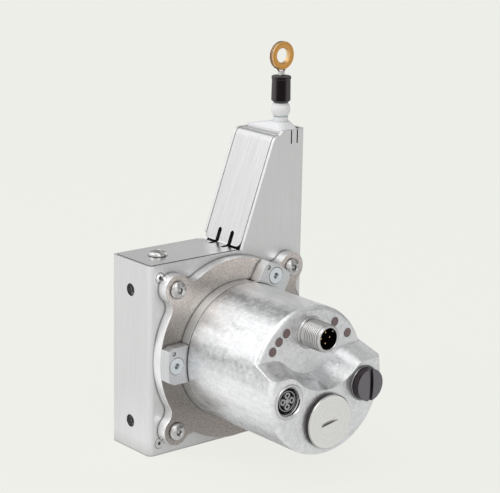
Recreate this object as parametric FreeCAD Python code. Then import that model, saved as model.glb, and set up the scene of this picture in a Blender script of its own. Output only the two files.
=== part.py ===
import FreeCAD
import Part
import math
import os

# Draw wire encoder: a folded sheet housing with a wire drum, and an absolute
# encoder clamped to its front. Millimetres, +Z up. The origin is the centre of
# the housing's bottom face. The encoder looks towards -Y, the drum turns about
# Y, and the wire leaves upwards.

V = FreeCAD.Vector

# Housing sheet
BODY_W = 83.0            # width, X
BODY_D = 27.6            # depth over the front and back plates, Y
BODY_H = 83.0            # height up to the top plate, Z
SHEET = 1.5              # sheet thickness
BEND_R = 2.5             # outer radius of the folded vertical edges
SEAM = 0.3               # joint between sheets that meet

# Tower over the wire outlet
TOWER_H = 49.4           # height over the top plate
TOWER_FOOT_X = 7.0       # where the slanted edge leaves the top plate
TOWER_SLANT = 20.0       # degrees from the vertical
TOWER_ROUND = 4.0        # radius at the head of the slanted edge
LIP_DROP = 1.8           # lip under the top edge of the plates
LIP_OFF = -6.2           # lip's end, where the outlet insert begins, from the wire
SLIT_W = 0.7             # slits in the plates beside the outlet
SLIT_H = 6.0
SLITS_OFF = (-1.5, 1.8)  # from the wire
RELIEF_R = 2.3           # round relief in the back plate, at the foot of the slanted edge
RELIEF_OFF = (-0.2, 1.0)

# Closing strip: top plate, slanted face and lip
STRIP_BEND = 3.0         # outer radius of its lower bend
STRIP_PROUD = 0.25       # above the plates' upper edge
STRIP_SIDE = 0.4         # open seam beside it
KEYHOLE_W = 2.4          # bend relief slots
KEYHOLE_H = 5.0
KEYHOLE_Y = (-4.6, 3.8)
FLAP_GAP = 0.45          # open strip under the slanted face beside the slots
FLAP_R = 3.0             # its rounded outer corners
FLAP_REACH = (4.0, 6.0)  # room for these cuts before and behind the foot

# Blocks in the corners
BLOCK_W = 18.0           # inward from the sides
BLOCK_APART = 20.0       # from the axis, upwards and downwards
BLOCK_GAP = 0.1
HOLLOW_ROOM = 0.4        # round the spring case and the drum
WIRE_HOLE_R = 2.0

# Encoder axis and the drum
AXIS_RISE = 0.5          # axis over the middle of the housing's height
WIND_DEPTH = 2.0         # from the drum's flanges down to the wire's centre line
WIRE_Y = -4.4
WIRE_D = 0.8
WINDING_W = 8.8          # wound width on the drum
DRUM_ROOM = 1.0          # drum flanges inside the spring case's radius
DRUM_FLANGE_T = 0.9
DRUM_RIM_T = 3.0
DRUM_WEB_T = 2.4
DRUM_HUB_R = 11.0
WEB_HOLE_R = 6.5
WEB_CIRCLE = 21.3
WEB_HOLES = 6
DRUM_SHAFT_R = 7.0
REAR_SHAFT_R = 6.0
KEY_W = 3.0
KEY_H = 1.2              # key over the shaft

# Mainspring, its case and its sleeve
CASE_ROOM = 2.0          # between the case and the housing sheet
CASE_WALL = 1.5
CASE_FLOOR_T = 1.6
CASE_LEAD = 0.6          # from the drum's rear flange to the case
CASE_POST_IN = 5.0       # circle of the case's screws, in from its outer radius
POST_R = 3.1
BOSS_R = 8.5
COVER_T = 0.5
COVER_EYE = 1.0          # cover's hole over the spring sleeve
ARBOR_R = 8.7
SPRING_T = 0.6
SPRING_TURNS = 4
SPRING_IN_R = 9.0
SPRING_OUT_IN = 9.0      # outermost turn, in from the case's radius
SPRING_SIDE = 0.35       # room beside the spring

# Flange plate between housing and encoder
FLANGE_T = 5.0
FLANGE_R = 39.8
EAR_IN = 8.8             # ears left, right, above and below, in from the plate's radius
EAR_R = 6.4
EAR_FILLET = 5.0
SPIGOT_R = 24.0
SPIGOT_L = 3.6

# Encoder
ENC_R = 30.0
RING_L = 5.0             # machined ring at the mounting end
UPPER_L = 48.3           # flange plate to the upper end face
LOWER_PROUD = 11.4       # lower end face before the upper one
CAST_WALL = 2.6
END_WALL = 3.3           # upper end of the casting
BODY_BEVEL = 0.4         # at the mounting end of the casting
POCKET_TOP_Z = 35.0      # hollow behind the lower end face, upper edge
POCKET_WALL = 3.4
BOSS_WALL = 1.8
PILOT_R = 25.0
PILOT_L = 3.0
REGISTER_L = 2.5         # ring's step inside the casting
CAST_ROUND = 2.2         # rounding of the die-cast edges
STEP_ARC_R = 18.0        # cove round the plug connector, on the upper face
STEP_ARC_UP = 19.8       # its centre over the axis
STEP_SHIFT = 4.0         # draft of the step wall, upper edge to lower edge
STEP_SHOULDER = 10.4     # upper edge of the step over the axis
STEP_FILLET = 12.0
STEP_OVER = 8.0          # how far the cut runs past the casting
ENC_HUB_R = 12.5
ENC_HUB_L = 14.0
SHAFT_R = 3.0
SHAFT_FLAT = 2.4
SHAFT_TIP = -6.0         # Y of the shaft's end, inside the drum shaft

# Bearings
FRONT_BORE_R = 6.0
FRONT_OUTER_R = 9.0
REAR_BORE_R = 4.0
REAR_OUTER_R = 6.5
ENC_OUTER_R = 6.5
BEARING_W = 4.0
ENC_BEARING_W = 5.0
BEARING_LIP = 1.4

# Clamps that hold the encoder
CLAMP_ANGLES = (180.0, 60.0, -60.0)
CLAMP_R = 35.2           # circle of the clamp screws
CLAMP_T = 5.5
CLAMP_W = 16.0
CLAMP_DIMPLE = (36.8, 5.6)       # place in the clamp, across and along
CLAMP_DIMPLE_SIDES = (-1, 1, 1)
CLAMP_DIMPLE_R = 1.0
CLAMP_DIMPLE_DEPTH = 0.5
CLAMP_CHAMFER = 2.6
CLAMP_LIP_R = 27.6
CLAMP_LIP_T = 2.0
POCKET_GAP = 0.15

# Disc, boards and switches inside the encoder
DISC_LEAD = 4.2          # from the bearing hub to the code disc
DISC_T = 1.0
DISC_R = 18.0
DISC_HUB_R = 7.0
DISC_HUB_T = 3.0
DISC_SEAT_R = 4.4
HEAD_X = (12.5, 20.5)    # scanning head
HEAD_HALF = 5.0
HEAD_LEAD = 3.2
DISC_SLOT = 0.7          # room beside the disc in the head
BOARD_T = 1.6
BOARD_IN = 4.0           # boards smaller than the encoder
BOARD_LEAD = 1.2         # connector board from the hollow's end
MAIN_LEAD = 8.0          # from the code disc to the main board
PILLAR_R = 1.9
PILLAR_CIRCLE = 22.5
PILLAR_ANGLES = (90.0, 210.0, 330.0)
SWITCH_X = 4.6
SWITCH_DOWN = 13.2
SWITCH_HALF = 3.5
SWITCH_H = 3.4
SWITCH_FLOOR = 0.9
DIAL_R = 2.5
DIAL_PROUD = 0.3
DIAL_SLOT = (1.8, 0.35, 0.7)     # half length, half width, depth
BUTTON_DOWN = 21.6
BUTTON_R = 1.6
BUTTON_PROUD = 1.0
BUTTON_HALF = 2.6
BUTTON_STROKE = 0.5

# Connectors on the encoder's end, from the encoder axis
PLUG_UP = 19.1
PLUG_L = 11.4
PLUG_SEAT_R = 6.6
PLUG_COLLAR_R = 6.8
PLUG_COLLAR_T = 0.6
PLUG_BORE_R = 4.5
PLUG_RECESS = 7.5
PLUG_BEVEL = 0.7
THREAD_R = 6.0           # M12
PIN_R = 0.5
PIN_CIRCLE = 2.35
PIN_SUNK = 2.0
PORT_X = 20.2
PORT_DOWN = 3.4
PORT_R = 7.2
PORT_THREAD_R = 5.9
PORT_L = 12.0
PORT_PROUD = 0.3
PORT_FLOOR = 2.0
SOCKET_R = 4.3
SOCKET_RECESS = 1.2
SOCKET_DEPTH = 5.3
SOCKET_HOLE_R = 0.6
LED_R = 1.85
LED_PROUD = 0.1
LEDS = ((24.4, 144.0), (24.4, 132.5), (24.4, 121.0), (25.1, 58.0), (25.6, 36.7))       # reach, angle

# Screw cap and port plug
CAP_DOWN = 15.4
CAP_R = 11.5
CAP_T = 0.7
CAP_BEVEL = 0.4
CAP_SEAL_T = 1.6
SEAL_IN = 0.3            # seals smaller than the heads over them
CAP_BARREL_R = 9.9
CAP_BARREL_L = 7.0
CAP_WALL = 1.6
CAP_FLOOR = 0.6
COIN_R = 13.6
COIN_DEPTH = 0.95
COIN_SLOT = 1.5
COIN_TURN = 10.0
BLANK_R = 6.85
BLANK_T = 3.0
BLANK_DOME = 0.8
BLANK_SEAL_T = 0.5
BLANK_SLOT = 1.9
BLANK_SLOT_DEPTH = 1.7
BLANK_SKIRT_L = 5.0
BLANK_CORE_R = 4.7
BLANK_FLOOR = 0.3

# Outlet insert, wire bush and wiper
INSERT_L = 15.4          # its foot under the tower's top
INSERT_SUNK = 0.6        # its rim below the tower's top
INSERT_ROOF = 2.9        # height of the roof over its rim
INSERT_STEP = 0.3
INSERT_R = 1.9
INSERT_CEILING = 3.0
INSERT_WALL = 1.8
INSERT_NECK_R = 3.3
INSERT_NECK_H = 2.2
INSERT_BORE_R = 1.4
BUSH_R = 2.3
BUSH_L = 2.3
BUSH_MOUTH = 0.6
WIRE_ROOM = 0.15
WIPER_T = 5.0
WIPER_HALF = 4.0

# Wire end
BALL_D = 8.4
BALL_H = 5.9
BALL_REST = 0.1          # ball stop over the neck at rest
SLEEVE_H = 11.6
SLEEVE_R = 4.05
SLEEVE_FLARE = 0.15      # wider near its foot
SLEEVE_FOOT = (1.0, 1.1) # its rounded foot, inwards and upwards
SLEEVE_LIP = 0.2         # bead round its head
SLEEVE_BEAD = (1.4, 1.2, 0.3)    # where the bead begins, is full and ends, from the top
SLEEVE_EDGE = 0.1
FERRULE_R = 1.5
FERRULE_HALF = 0.8
FERRULE_H = 2.0
FERRULE_ROUND = 0.75
THIMBLE_UP = 6.8         # its centre over the ferrule
THIMBLE_R = 6.15
THIMBLE_HOLE_R = 3.2
THIMBLE_T = 2.2
THIMBLE_BEVEL = 0.5
THIMBLE_EDGE = 0.3
GROOVE_FLOOR = 0.35
GROOVE_ROOM = 0.25
LOOP_SUNK = 0.3          # wire centre below the thimble's rim
LOOP_FOOT = 0.55         # half distance of the two strands in the ferrule
LOOP_THIN = 0.05

# Screws and threads: radii, head radii, head heights, hexagon sockets
M25_R = 1.25
M4_R = 2.0
M5_R = 2.5
SMALL_HEAD = (2.2, 1.2, 1.5)
CLAMP_HEAD = (3.6, 2.2, 2.5)
TOP_HEAD = (4.0, 2.2, 2.5)
EAR_HEAD = (3.8, 2.2, 2.5)
SINK_ROOM = 0.25         # round the rim of a sunk head
DOME_START = 0.45        # where a button head's bevel ends, of its height
DOME_TOP = 0.66          # flat top of a button head, of its radius
SOCKET_DEPTH_SHARE = 0.75        # hexagon socket, of the head's height
SMALL_SCREW_L = 6.5
TOP_SCREW_GRIP = 6.0
EAR_SCREW_GRIP = 4.5
CLAMP_SCREW_GRIP = 4.0
CLAMP_HOLE_L = 4.5
THREAD_DEPTH = 7.0
OUTLET_THREAD_SHORT = 1.4        # shorter thread beside the wire's hole
SIDE_DEPTH = 10.0
SIDE_HOLE_IN = 12.5      # from the housing's foot and from its top
CORNER_INSET = 5.2
TOP_SCREW_IN = 14.0      # from the left side; the base screws stand under it, and mirrored

# Clearances
RUN = 0.05               # radial running clearance
THREAD_RUN = 0.1         # radial play of the hand-turned threads
FIT = 0.02               # radial clearance of parts that don't move
GAP = 0.25               # between pieces laid side by side
FACE = 0.02              # between faces that rest on each other
SEAT = 0.1               # behind a bearing
WIND_SIDE = 0.05         # between the wound wire and the drum's flanges
END = 0.4                # end play of turning pieces

# Places worked out from the sizes above
HALF_ROOM = min(BODY_W, BODY_H) / 2
AXIS_Z = BODY_H / 2 + AXIS_RISE
TOWER_TOP = BODY_H + TOWER_H
CASE_R = HALF_ROOM - SHEET - CASE_ROOM
CASE_POST_R = CASE_R - CASE_POST_IN
SPRING_OUT_R = CASE_R - SPRING_OUT_IN
HOLLOW_R = CASE_R + HOLLOW_ROOM
DRUM_FLANGE_R = CASE_R - DRUM_ROOM
WIRE_X = DRUM_FLANGE_R - WIND_DEPTH
LIP_X = WIRE_X + LIP_OFF
SLIT_X = tuple(WIRE_X + off for off in SLITS_OFF)
EAR_OFFSET = FLANGE_R - EAR_IN
CLAMP_OUT_R = FLANGE_R
BLOCK_LOW_TOP = AXIS_Z - BLOCK_APART
BLOCK_HIGH_FOOT = AXIS_Z + BLOCK_APART
BOARD_R = ENC_R - BOARD_IN
FRONT_BEARING = (FRONT_BORE_R, FRONT_OUTER_R)
REAR_BEARING = (REAR_BORE_R, REAR_OUTER_R)
ENC_BEARING = (SHAFT_R, ENC_OUTER_R)
SIDE_HOLE_Z = (SIDE_HOLE_IN, BODY_H - SIDE_HOLE_IN)
BASE_SCREW_X = BODY_W / 2 - TOP_SCREW_IN
TOP_SCREW_X = -BASE_SCREW_X
FRONT_Y = -BODY_D / 2
BACK_Y = BODY_D / 2
IN_FRONT = FRONT_Y + SHEET
IN_BACK = BACK_Y - SHEET
IN_X = BODY_W / 2 - SHEET
IN_BEND = BEND_R - SHEET
FLANGE_Y = FRONT_Y - FLANGE_T
CLAMP_FRONT = FLANGE_Y - CLAMP_T
RING_Y = FLANGE_Y - RING_L
UPPER_Y = FLANGE_Y - UPPER_L
CAVITY_Y = UPPER_Y + END_WALL
BOARD_Y = CAVITY_Y + BOARD_LEAD
DISC_Y = RING_Y - ENC_HUB_L - DISC_LEAD
MAIN_BOARD_Y = DISC_Y - MAIN_LEAD
LOWER_Y = UPPER_Y - LOWER_PROUD
PLUG_Z = AXIS_Z + PLUG_UP
PLUG_END = UPPER_Y - PLUG_L
PORT_Z = AXIS_Z - PORT_DOWN
CAP_Z = AXIS_Z - CAP_DOWN
SWITCH_Z = AXIS_Z - SWITCH_DOWN
BUTTON_Z = AXIS_Z - BUTTON_DOWN
STRIP_Z = BODY_H + STRIP_PROUD
STRIP_UNDER = STRIP_Z - SHEET
LIP_Z = TOWER_TOP - LIP_DROP
SLANT = math.radians(TOWER_SLANT)
WIND_R = WIRE_X + WIRE_D / 2
RIM_R = WIRE_X - WIRE_D / 2
DRUM_Y0 = WIRE_Y - WINDING_W / 2 - DRUM_FLANGE_T
DRUM_Y1 = WIRE_Y + WINDING_W / 2 + DRUM_FLANGE_T
FRONT_SEAT_Y = FRONT_Y + SPIGOT_L - BEARING_W - END
REAR_SEAT_Y = IN_BACK - BEARING_W - CASE_LEAD
CASE_FRONT = DRUM_Y1 + CASE_LEAD
SPRING_Y0 = CASE_FRONT + COVER_T + SPRING_SIDE
SPRING_Y1 = IN_BACK - CASE_FLOOR_T - SPRING_SIDE
INSERT_FOOT_Z = TOWER_TOP - INSERT_L
INSERT_RIM_Z = TOWER_TOP - INSERT_SUNK
CEILING_Z = INSERT_RIM_Z - INSERT_CEILING
CROWN_Z = INSERT_RIM_Z + INSERT_ROOF
NECK_TOP = CROWN_Z + INSERT_NECK_H
BALL_Z = NECK_TOP + BALL_REST
BALL_TOP = BALL_Z + BALL_H
SLEEVE_TOP = BALL_TOP + SLEEVE_H
FERRULE_TOP = SLEEVE_TOP + FERRULE_H
THIMBLE_Z = FERRULE_TOP + THIMBLE_UP
CORNER_X = BODY_W / 2 - CORNER_INSET
CORNER_HIGH = BODY_H - CORNER_INSET
EAR_PLACES = [(sx * EAR_OFFSET, AXIS_Z + sz * EAR_OFFSET) for sx in (-1, 1) for sz in (-1, 1)]
FRONT_CORNERS = [(-CORNER_X, CORNER_HIGH), (-CORNER_X, CORNER_INSET), (CORNER_X, CORNER_INSET)]
BACK_CORNERS = FRONT_CORNERS + [(CORNER_X, CORNER_HIGH)]
CASE_POSTS = [(CASE_POST_R, AXIS_Z), (0, AXIS_Z + CASE_POST_R),
              (-CASE_POST_R, AXIS_Z), (0, AXIS_Z - CASE_POST_R)]


def cyl_y(r, y0, y1, x=0.0, z=AXIS_Z):
    """Cylinder along Y."""
    return Part.makeCylinder(r, y1 - y0, V(x, y0, z), V(0, 1, 0))


def cone_y(r0, r1, y0, y1, x=0.0, z=AXIS_Z):
    """Cone along Y, radius r0 at y0 and r1 at y1."""
    return Part.makeCone(r0, r1, y1 - y0, V(x, y0, z), V(0, 1, 0))


def ring_y(r_out, r_in, y0, y1, x=0.0, z=AXIS_Z):
    """Tube along Y."""
    return cyl_y(r_out, y0, y1, x, z).cut(cyl_y(r_in, y0 - 1, y1 + 1, x, z))


def cyl_z(r, z0, z1, x, y):
    """Cylinder along Z."""
    return Part.makeCylinder(r, z1 - z0, V(x, y, z0), V(0, 0, 1))


def box(x0, x1, y0, y1, z0, z1):
    """Block between two corners."""
    return Part.makeBox(x1 - x0, y1 - y0, z1 - z0, V(x0, y0, z0))


def join(shapes):
    """One solid out of several that touch."""
    whole = shapes[0]
    for shape in shapes[1:]:
        whole = whole.fuse(shape)
    return whole.removeSplitter()


def revolve_y(points, x=0.0, z=AXIS_Z):
    """Turned solid about a line along Y, from (radius, y) points."""
    corners = [V(x + r, y, z) for r, y in points]
    face = Part.Face(Part.makePolygon(corners + corners[:1]))
    return face.revolve(V(x, 0, z), V(0, 1, 0), 360)


def revolve_z(points, x, y):
    """Turned solid about a line along Z, from (radius, z) points."""
    corners = [V(x + r, y, z) for r, z in points]
    face = Part.Face(Part.makePolygon(corners + corners[:1]))
    return face.revolve(V(x, y, 0), V(0, 0, 1), 360)


def outline(points, place):
    """Closed face from (u, v, corner radius) points, with arcs at the corners."""
    count = len(points)
    ends = []
    for i in range(count):
        u, v, r = points[i]
        before = points[i - 1]
        after = points[(i + 1) % count]
        a = math.hypot(before[0] - u, before[1] - v)
        b = math.hypot(after[0] - u, after[1] - v)
        ua = ((before[0] - u) / a, (before[1] - v) / a)
        ub = ((after[0] - u) / b, (after[1] - v) / b)
        half = math.acos(max(-1.0, min(1.0, ua[0] * ub[0] + ua[1] * ub[1]))) / 2
        if r == 0 or abs(math.cos(half)) < 1e-6:
            ends.append((place(u, v),))
            continue
        back = r / math.tan(half)
        mid = math.hypot(ua[0] + ub[0], ua[1] + ub[1])
        depth = r / math.sin(half) - r
        m = ((ua[0] + ub[0]) / mid * depth, (ua[1] + ub[1]) / mid * depth)
        ends.append((place(u + ua[0] * back, v + ua[1] * back),
                     place(u + m[0], v + m[1]),
                     place(u + ub[0] * back, v + ub[1] * back)))
    edges = []
    for i in range(count):
        corner = ends[i]
        if len(corner) == 3:
            edges.append(Part.Arc(*corner).toShape())
        start = corner[-1]
        stop = ends[(i + 1) % count][0]
        if start.distanceToPoint(stop) > 1e-6:
            edges.append(Part.LineSegment(start, stop).toShape())
    return Part.Face(Part.Wire(edges))


def slab_y(points, y0, y1):
    """Rounded outline in XZ, drawn out along Y."""
    return outline(points, lambda u, v: V(u, y0, v)).extrude(V(0, y1 - y0, 0))


def slab_z(points, z0, z1):
    """Rounded outline in XY, drawn out along Z."""
    return outline(points, lambda u, v: V(u, v, z0)).extrude(V(0, 0, z1 - z0))


def rectangle(x0, x1, y0, y1, r):
    """Corner list of a rectangle with rounded corners."""
    return [(x0, y0, r), (x1, y0, r), (x1, y1, r), (x0, y1, r)]


def hexagon_y(across, y0, y1, x, z):
    """Hexagon socket along Y."""
    r = across / math.sqrt(3)
    corners = [V(x + r * math.cos(math.radians(60 * i)), y0,
                 z + r * math.sin(math.radians(60 * i))) for i in range(6)]
    face = Part.Face(Part.makePolygon(corners + corners[:1]))
    return face.extrude(V(0, y1 - y0, 0))


def turned(shape, degrees, x=0.0, z=AXIS_Z):
    """Copy turned about a line along Y."""
    copy = shape.copy()
    copy.rotate(V(x, 0, z), V(0, -1, 0), degrees)
    return copy


def slant_x(z):
    """X of the tower's slanted edge at height z."""
    return TOWER_FOOT_X + (z - BODY_H) * math.tan(SLANT)


def screw_y(r, head_form, length, y, x, z, sunk=True):
    """Screw driven towards +Y. y is the face that it is driven into."""
    head_r, head_h, hexagon = head_form
    if sunk:
        head = cone_y(head_r, r, y, y + head_h, x, z)
        top = y
    else:
        top = y - head_h
        dome = head_h * DOME_START
        head = cone_y(head_r * DOME_TOP, head_r, top, top + dome, x, z)
        head = head.fuse(cyl_y(head_r, top + dome, y, x, z))
    body = join([head, cyl_y(r, y, y + length, x, z)])
    return body.cut(hexagon_y(hexagon, top - 1, top + head_h * SOCKET_DEPTH_SHARE, x, z))


def tower_points():
    """Front view of the housing, with the tower."""
    lip = slant_x(LIP_Z)
    return [(-BODY_W / 2, 0, 0), (-BODY_W / 2, BODY_H, 0), (TOWER_FOOT_X, BODY_H, 0),
            (lip, LIP_Z, TOWER_ROUND), (LIP_X - LIP_DROP, LIP_Z, 0),
            (LIP_X, TOWER_TOP, 0), (BODY_W / 2, TOWER_TOP, 0), (BODY_W / 2, 0, 0)]


def small_hole(x, z, front):
    """Sunk hole of a small screw through the front or the back plate."""
    head_r, head_h, _ = SMALL_HEAD
    if front:
        sink = cone_y(head_r + SINK_ROOM, M25_R + FIT, FRONT_Y, FRONT_Y + head_h, x, z)
        return sink.fuse(cyl_y(M25_R + FIT, FRONT_Y, IN_FRONT + 1, x, z))
    sink = cone_y(M25_R + FIT, head_r + SINK_ROOM, BACK_Y - head_h, BACK_Y, x, z)
    return sink.fuse(cyl_y(M25_R + FIT, IN_BACK - 1, BACK_Y, x, z))


def housing_shell():
    """One folded sheet: left side, front, right side and back, with the tower."""
    half_w = BODY_W / 2
    outer = slab_z(rectangle(-half_w, half_w, FRONT_Y, BACK_Y, BEND_R), 0, TOWER_TOP)
    inner = slab_z(rectangle(-IN_X, IN_X, IN_FRONT, IN_BACK, IN_BEND), -1, TOWER_TOP + 1)
    shell = outer.cut(inner).common(slab_y(tower_points(), FRONT_Y - 1, BACK_Y + 1))
    cuts = [cyl_y(SPIGOT_R + GAP, FRONT_Y - 1, IN_FRONT + 1)]
    cuts += [cyl_y(M4_R + GAP, FRONT_Y - 1, IN_FRONT + 1, x, z) for x, z in EAR_PLACES]
    cuts += [small_hole(x, z, True) for x, z in FRONT_CORNERS]
    cuts += [small_hole(x, z, False) for x, z in BACK_CORNERS + CASE_POSTS]
    for z in SIDE_HOLE_Z:
        cuts.append(Part.makeCylinder(M5_R + GAP, SHEET + 2, V(-half_w - 1, 0, z), V(1, 0, 0)))
    for x in SLIT_X:
        cuts.append(box(x - SLIT_W / 2, x + SLIT_W / 2, FRONT_Y - 1, BACK_Y + 1,
                        TOWER_TOP - SLIT_H, TOWER_TOP + 1))
    seam_y = IN_BACK - BEND_R
    cuts.append(box(IN_X - 1, half_w + 1, seam_y - SEAM, seam_y, -1, TOWER_TOP + 1))
    cuts.append(box(LIP_X - LIP_DROP - 1, half_w + 1, seam_y, BACK_Y + 1, LIP_Z, TOWER_TOP + 1))
    relief_x, relief_z = TOWER_FOOT_X + RELIEF_OFF[0], BODY_H + RELIEF_OFF[1]
    cuts.append(cyl_y(RELIEF_R, IN_BACK - 1, BACK_Y + 1, relief_x, relief_z))
    for cut in cuts:
        shell = shell.cut(cut)
    return shell


def slant_line(inset):
    """Foot and head of the strip's slanted face, moved in by inset."""
    shift = inset / math.cos(SLANT)
    return [(slant_x(z - inset) + shift, z - inset) for z in (STRIP_Z, LIP_Z)]


def flap_corner(x0, x1, y, side):
    """Waste outside the rounded lower corner of a flap, whose side is at y."""
    foot = STRIP_Z + FLAP_GAP
    waste = box(x0, x1, min(y, y + side * FLAP_R), max(y, y + side * FLAP_R), foot, foot + FLAP_R)
    return waste.cut(Part.makeCylinder(FLAP_R, x1 - x0, V(x0, y + side * FLAP_R, foot + FLAP_R), V(1, 0, 0)))


def closing_strip():
    """Inset strip: top plate, slanted tower face and the lip at the outlet."""
    left = -IN_X + SEAM
    y0 = IN_FRONT + STRIP_SIDE
    y1 = IN_BACK - STRIP_SIDE
    foot_out, head_out = slant_line(0)
    foot_in, head_in = slant_line(SHEET)
    head_r = TOWER_ROUND
    points = [(left, STRIP_Z, 0), (foot_out[0], STRIP_Z, STRIP_BEND - SHEET), (*head_out, head_r),
              (LIP_X, head_out[1], 0), (LIP_X, head_in[1], 0), (*head_in, head_r - SHEET),
              (foot_in[0], STRIP_UNDER, STRIP_BEND), (left, STRIP_UNDER, 0)]
    plan = rectangle(left, BODY_W, y0, y1, IN_BEND)
    strip = slab_y(points, y0, y1).common(slab_z(plan, 0, TOWER_TOP))
    x0 = TOWER_FOOT_X - FLAP_REACH[0]
    x1 = TOWER_FOOT_X + FLAP_REACH[1]
    slot_top = STRIP_Z + KEYHOLE_H
    for y in KEYHOLE_Y:
        strip = strip.cut(box(x0, x1, y - KEYHOLE_W / 2, y + KEYHOLE_W / 2, STRIP_UNDER - 1, slot_top))
        strip = strip.cut(Part.makeCylinder(KEYHOLE_W / 2, x1 - x0, V(x0, y, slot_top), V(1, 0, 0)))
    flap_x = foot_out[0] - STRIP_BEND / 2
    for near, far in ((y0 - 1, KEYHOLE_Y[0]), (KEYHOLE_Y[1], y1 + 1)):
        strip = strip.cut(box(flap_x, x1, near, far, STRIP_UNDER - 1, STRIP_Z + FLAP_GAP))
    for y, side in ((y0, 1), (y1, -1)):
        strip = strip.cut(flap_corner(x0, x1, y, side))
    return strip.cut(cyl_z(M4_R + GAP, STRIP_UNDER - 1, STRIP_Z + 1, TOP_SCREW_X, 0))


def base_plate():
    """Bottom sheet, inset between the folds, with two sunk screw holes."""
    x = IN_X - SEAM
    head_r, head_h, _ = SMALL_HEAD
    plate = slab_z(rectangle(-x, x, IN_FRONT + GAP, IN_BACK - GAP, IN_BEND), 0, SHEET)
    for sx in (-1, 1):
        sink = Part.makeCone(head_r + SINK_ROOM, M25_R + FIT, head_h, V(sx * BASE_SCREW_X, 0, 0))
        plate = plate.cut(sink)
        plate = plate.cut(cyl_z(M25_R + FIT, 0, SHEET + 1, sx * BASE_SCREW_X, 0))
    return plate


def corner_block(side, upper):
    """Threaded block in one corner, hollowed to clear the drum."""
    x_in = side * (IN_X - BLOCK_W)
    x_out = side * (IN_X - BLOCK_GAP)
    z0 = BLOCK_HIGH_FOOT if upper else SHEET + BLOCK_GAP
    z1 = STRIP_UNDER - BLOCK_GAP if upper else BLOCK_LOW_TOP
    bend = IN_BEND + BLOCK_GAP
    block = slab_z([(x_in, IN_FRONT, 0), (x_out, IN_FRONT, bend), (x_out, IN_BACK, bend), (x_in, IN_BACK, 0)],
                   z0, z1)
    block = block.cut(cyl_y(HOLLOW_R, IN_FRONT - 1, IN_BACK + 1))
    ear_z = AXIS_Z + (EAR_OFFSET if upper else -EAR_OFFSET)
    ear_depth = THREAD_DEPTH - (OUTLET_THREAD_SHORT if side > 0 and upper else 0)
    corner_x = side * CORNER_X
    corner_z = CORNER_HIGH if upper else CORNER_INSET
    block = block.cut(cyl_y(M4_R + FIT, IN_FRONT - 1, IN_FRONT + ear_depth, side * EAR_OFFSET, ear_z))
    if (corner_x, corner_z) in FRONT_CORNERS:
        block = block.cut(cyl_y(M25_R + FIT, IN_FRONT - 1, IN_FRONT + THREAD_DEPTH, corner_x, corner_z))
    block = block.cut(cyl_y(M25_R + FIT, IN_BACK - THREAD_DEPTH, IN_BACK + 1, corner_x, corner_z))
    if side < 0:
        side_z = SIDE_HOLE_Z[1 if upper else 0]
        block = block.cut(Part.makeCylinder(M5_R, SIDE_DEPTH, V(x_out, 0, side_z), V(1, 0, 0)))
    if upper and side < 0:
        block = block.cut(cyl_z(M4_R + FIT, z1 - THREAD_DEPTH, z1 + 1, TOP_SCREW_X, 0))
    if upper and side > 0:
        block = block.cut(cyl_z(WIRE_HOLE_R, z0 - 1, z1 + 1, WIRE_X, WIRE_Y))
    if not upper:
        block = block.cut(cyl_z(M25_R + FIT, z0 - 1, z0 + THREAD_DEPTH, side * BASE_SCREW_X, 0))
    return block


def housing_screws():
    """Small sunk screws: front and back corners, spring case and base."""
    screws = [screw_y(M25_R, SMALL_HEAD, SMALL_SCREW_L, FRONT_Y, x, z) for x, z in FRONT_CORNERS]
    for x, z in BACK_CORNERS + CASE_POSTS:
        rear = screw_y(M25_R, SMALL_HEAD, SMALL_SCREW_L, -BACK_Y, -x, z)
        rear.rotate(V(0, 0, 0), V(0, 0, 1), 180)
        screws.append(rear)
    for sx in (-1, 1):
        low = screw_y(M25_R, SMALL_HEAD, SMALL_SCREW_L, 0, 0, 0)
        low.rotate(V(0, 0, 0), V(1, 0, 0), 90)
        low.translate(V(sx * BASE_SCREW_X, 0, 0))
        screws.append(low)
    return Part.makeCompound(screws)


def top_screw():
    """Button-head screw that holds the top plate."""
    screw = screw_y(M4_R, TOP_HEAD, SHEET + TOP_SCREW_GRIP, 0, 0, 0, sunk=False)
    screw.rotate(V(0, 0, 0), V(1, 0, 0), -90)
    screw.translate(V(TOP_SCREW_X, 0, STRIP_Z))
    return screw


def flange_plate():
    """Machined plate with four ears that carries the encoder."""
    plate = cyl_y(FLANGE_R, FLANGE_Y, FRONT_Y)
    for x, z in EAR_PLACES:
        plate = plate.fuse(cyl_y(EAR_R, FLANGE_Y, FRONT_Y, x, z))
    plate = plate.removeSplitter()
    valleys = []
    for edge in plate.Edges:
        middle = edge.CenterOfMass
        along = abs(edge.Vertexes[0].Y - edge.Vertexes[-1].Y) > FLANGE_T / 2
        on_disc = math.hypot(middle.x, middle.z - AXIS_Z) < FLANGE_R + 0.1
        if along and on_disc and abs(abs(middle.x) - EAR_OFFSET) < EAR_R:
            valleys.append(edge)
    plate = plate.makeFillet(EAR_FILLET, valleys)
    plate = plate.fuse(cyl_y(SPIGOT_R, FRONT_Y, FRONT_Y + SPIGOT_L))
    seat = FRONT_BEARING[1] + FIT
    plate = plate.cut(cyl_y(seat, FRONT_SEAT_Y, FRONT_Y + SPIGOT_L + 1))
    plate = plate.cut(cyl_y(seat - BEARING_LIP, FLANGE_Y - 1, FRONT_SEAT_Y + 1))
    plate = plate.cut(cyl_y(PILOT_R + FIT, FLANGE_Y - 1, FLANGE_Y + PILOT_L + GAP))
    for x, z in EAR_PLACES:
        plate = plate.cut(cyl_y(M4_R + GAP, FLANGE_Y - 1, FRONT_Y + 1, x, z))
    hole = cyl_y(M4_R + FIT, FLANGE_Y - 1, FLANGE_Y + CLAMP_HOLE_L, CLAMP_R)
    for angle in CLAMP_ANGLES:
        plate = plate.cut(turned(hole, angle))
    return plate


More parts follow.
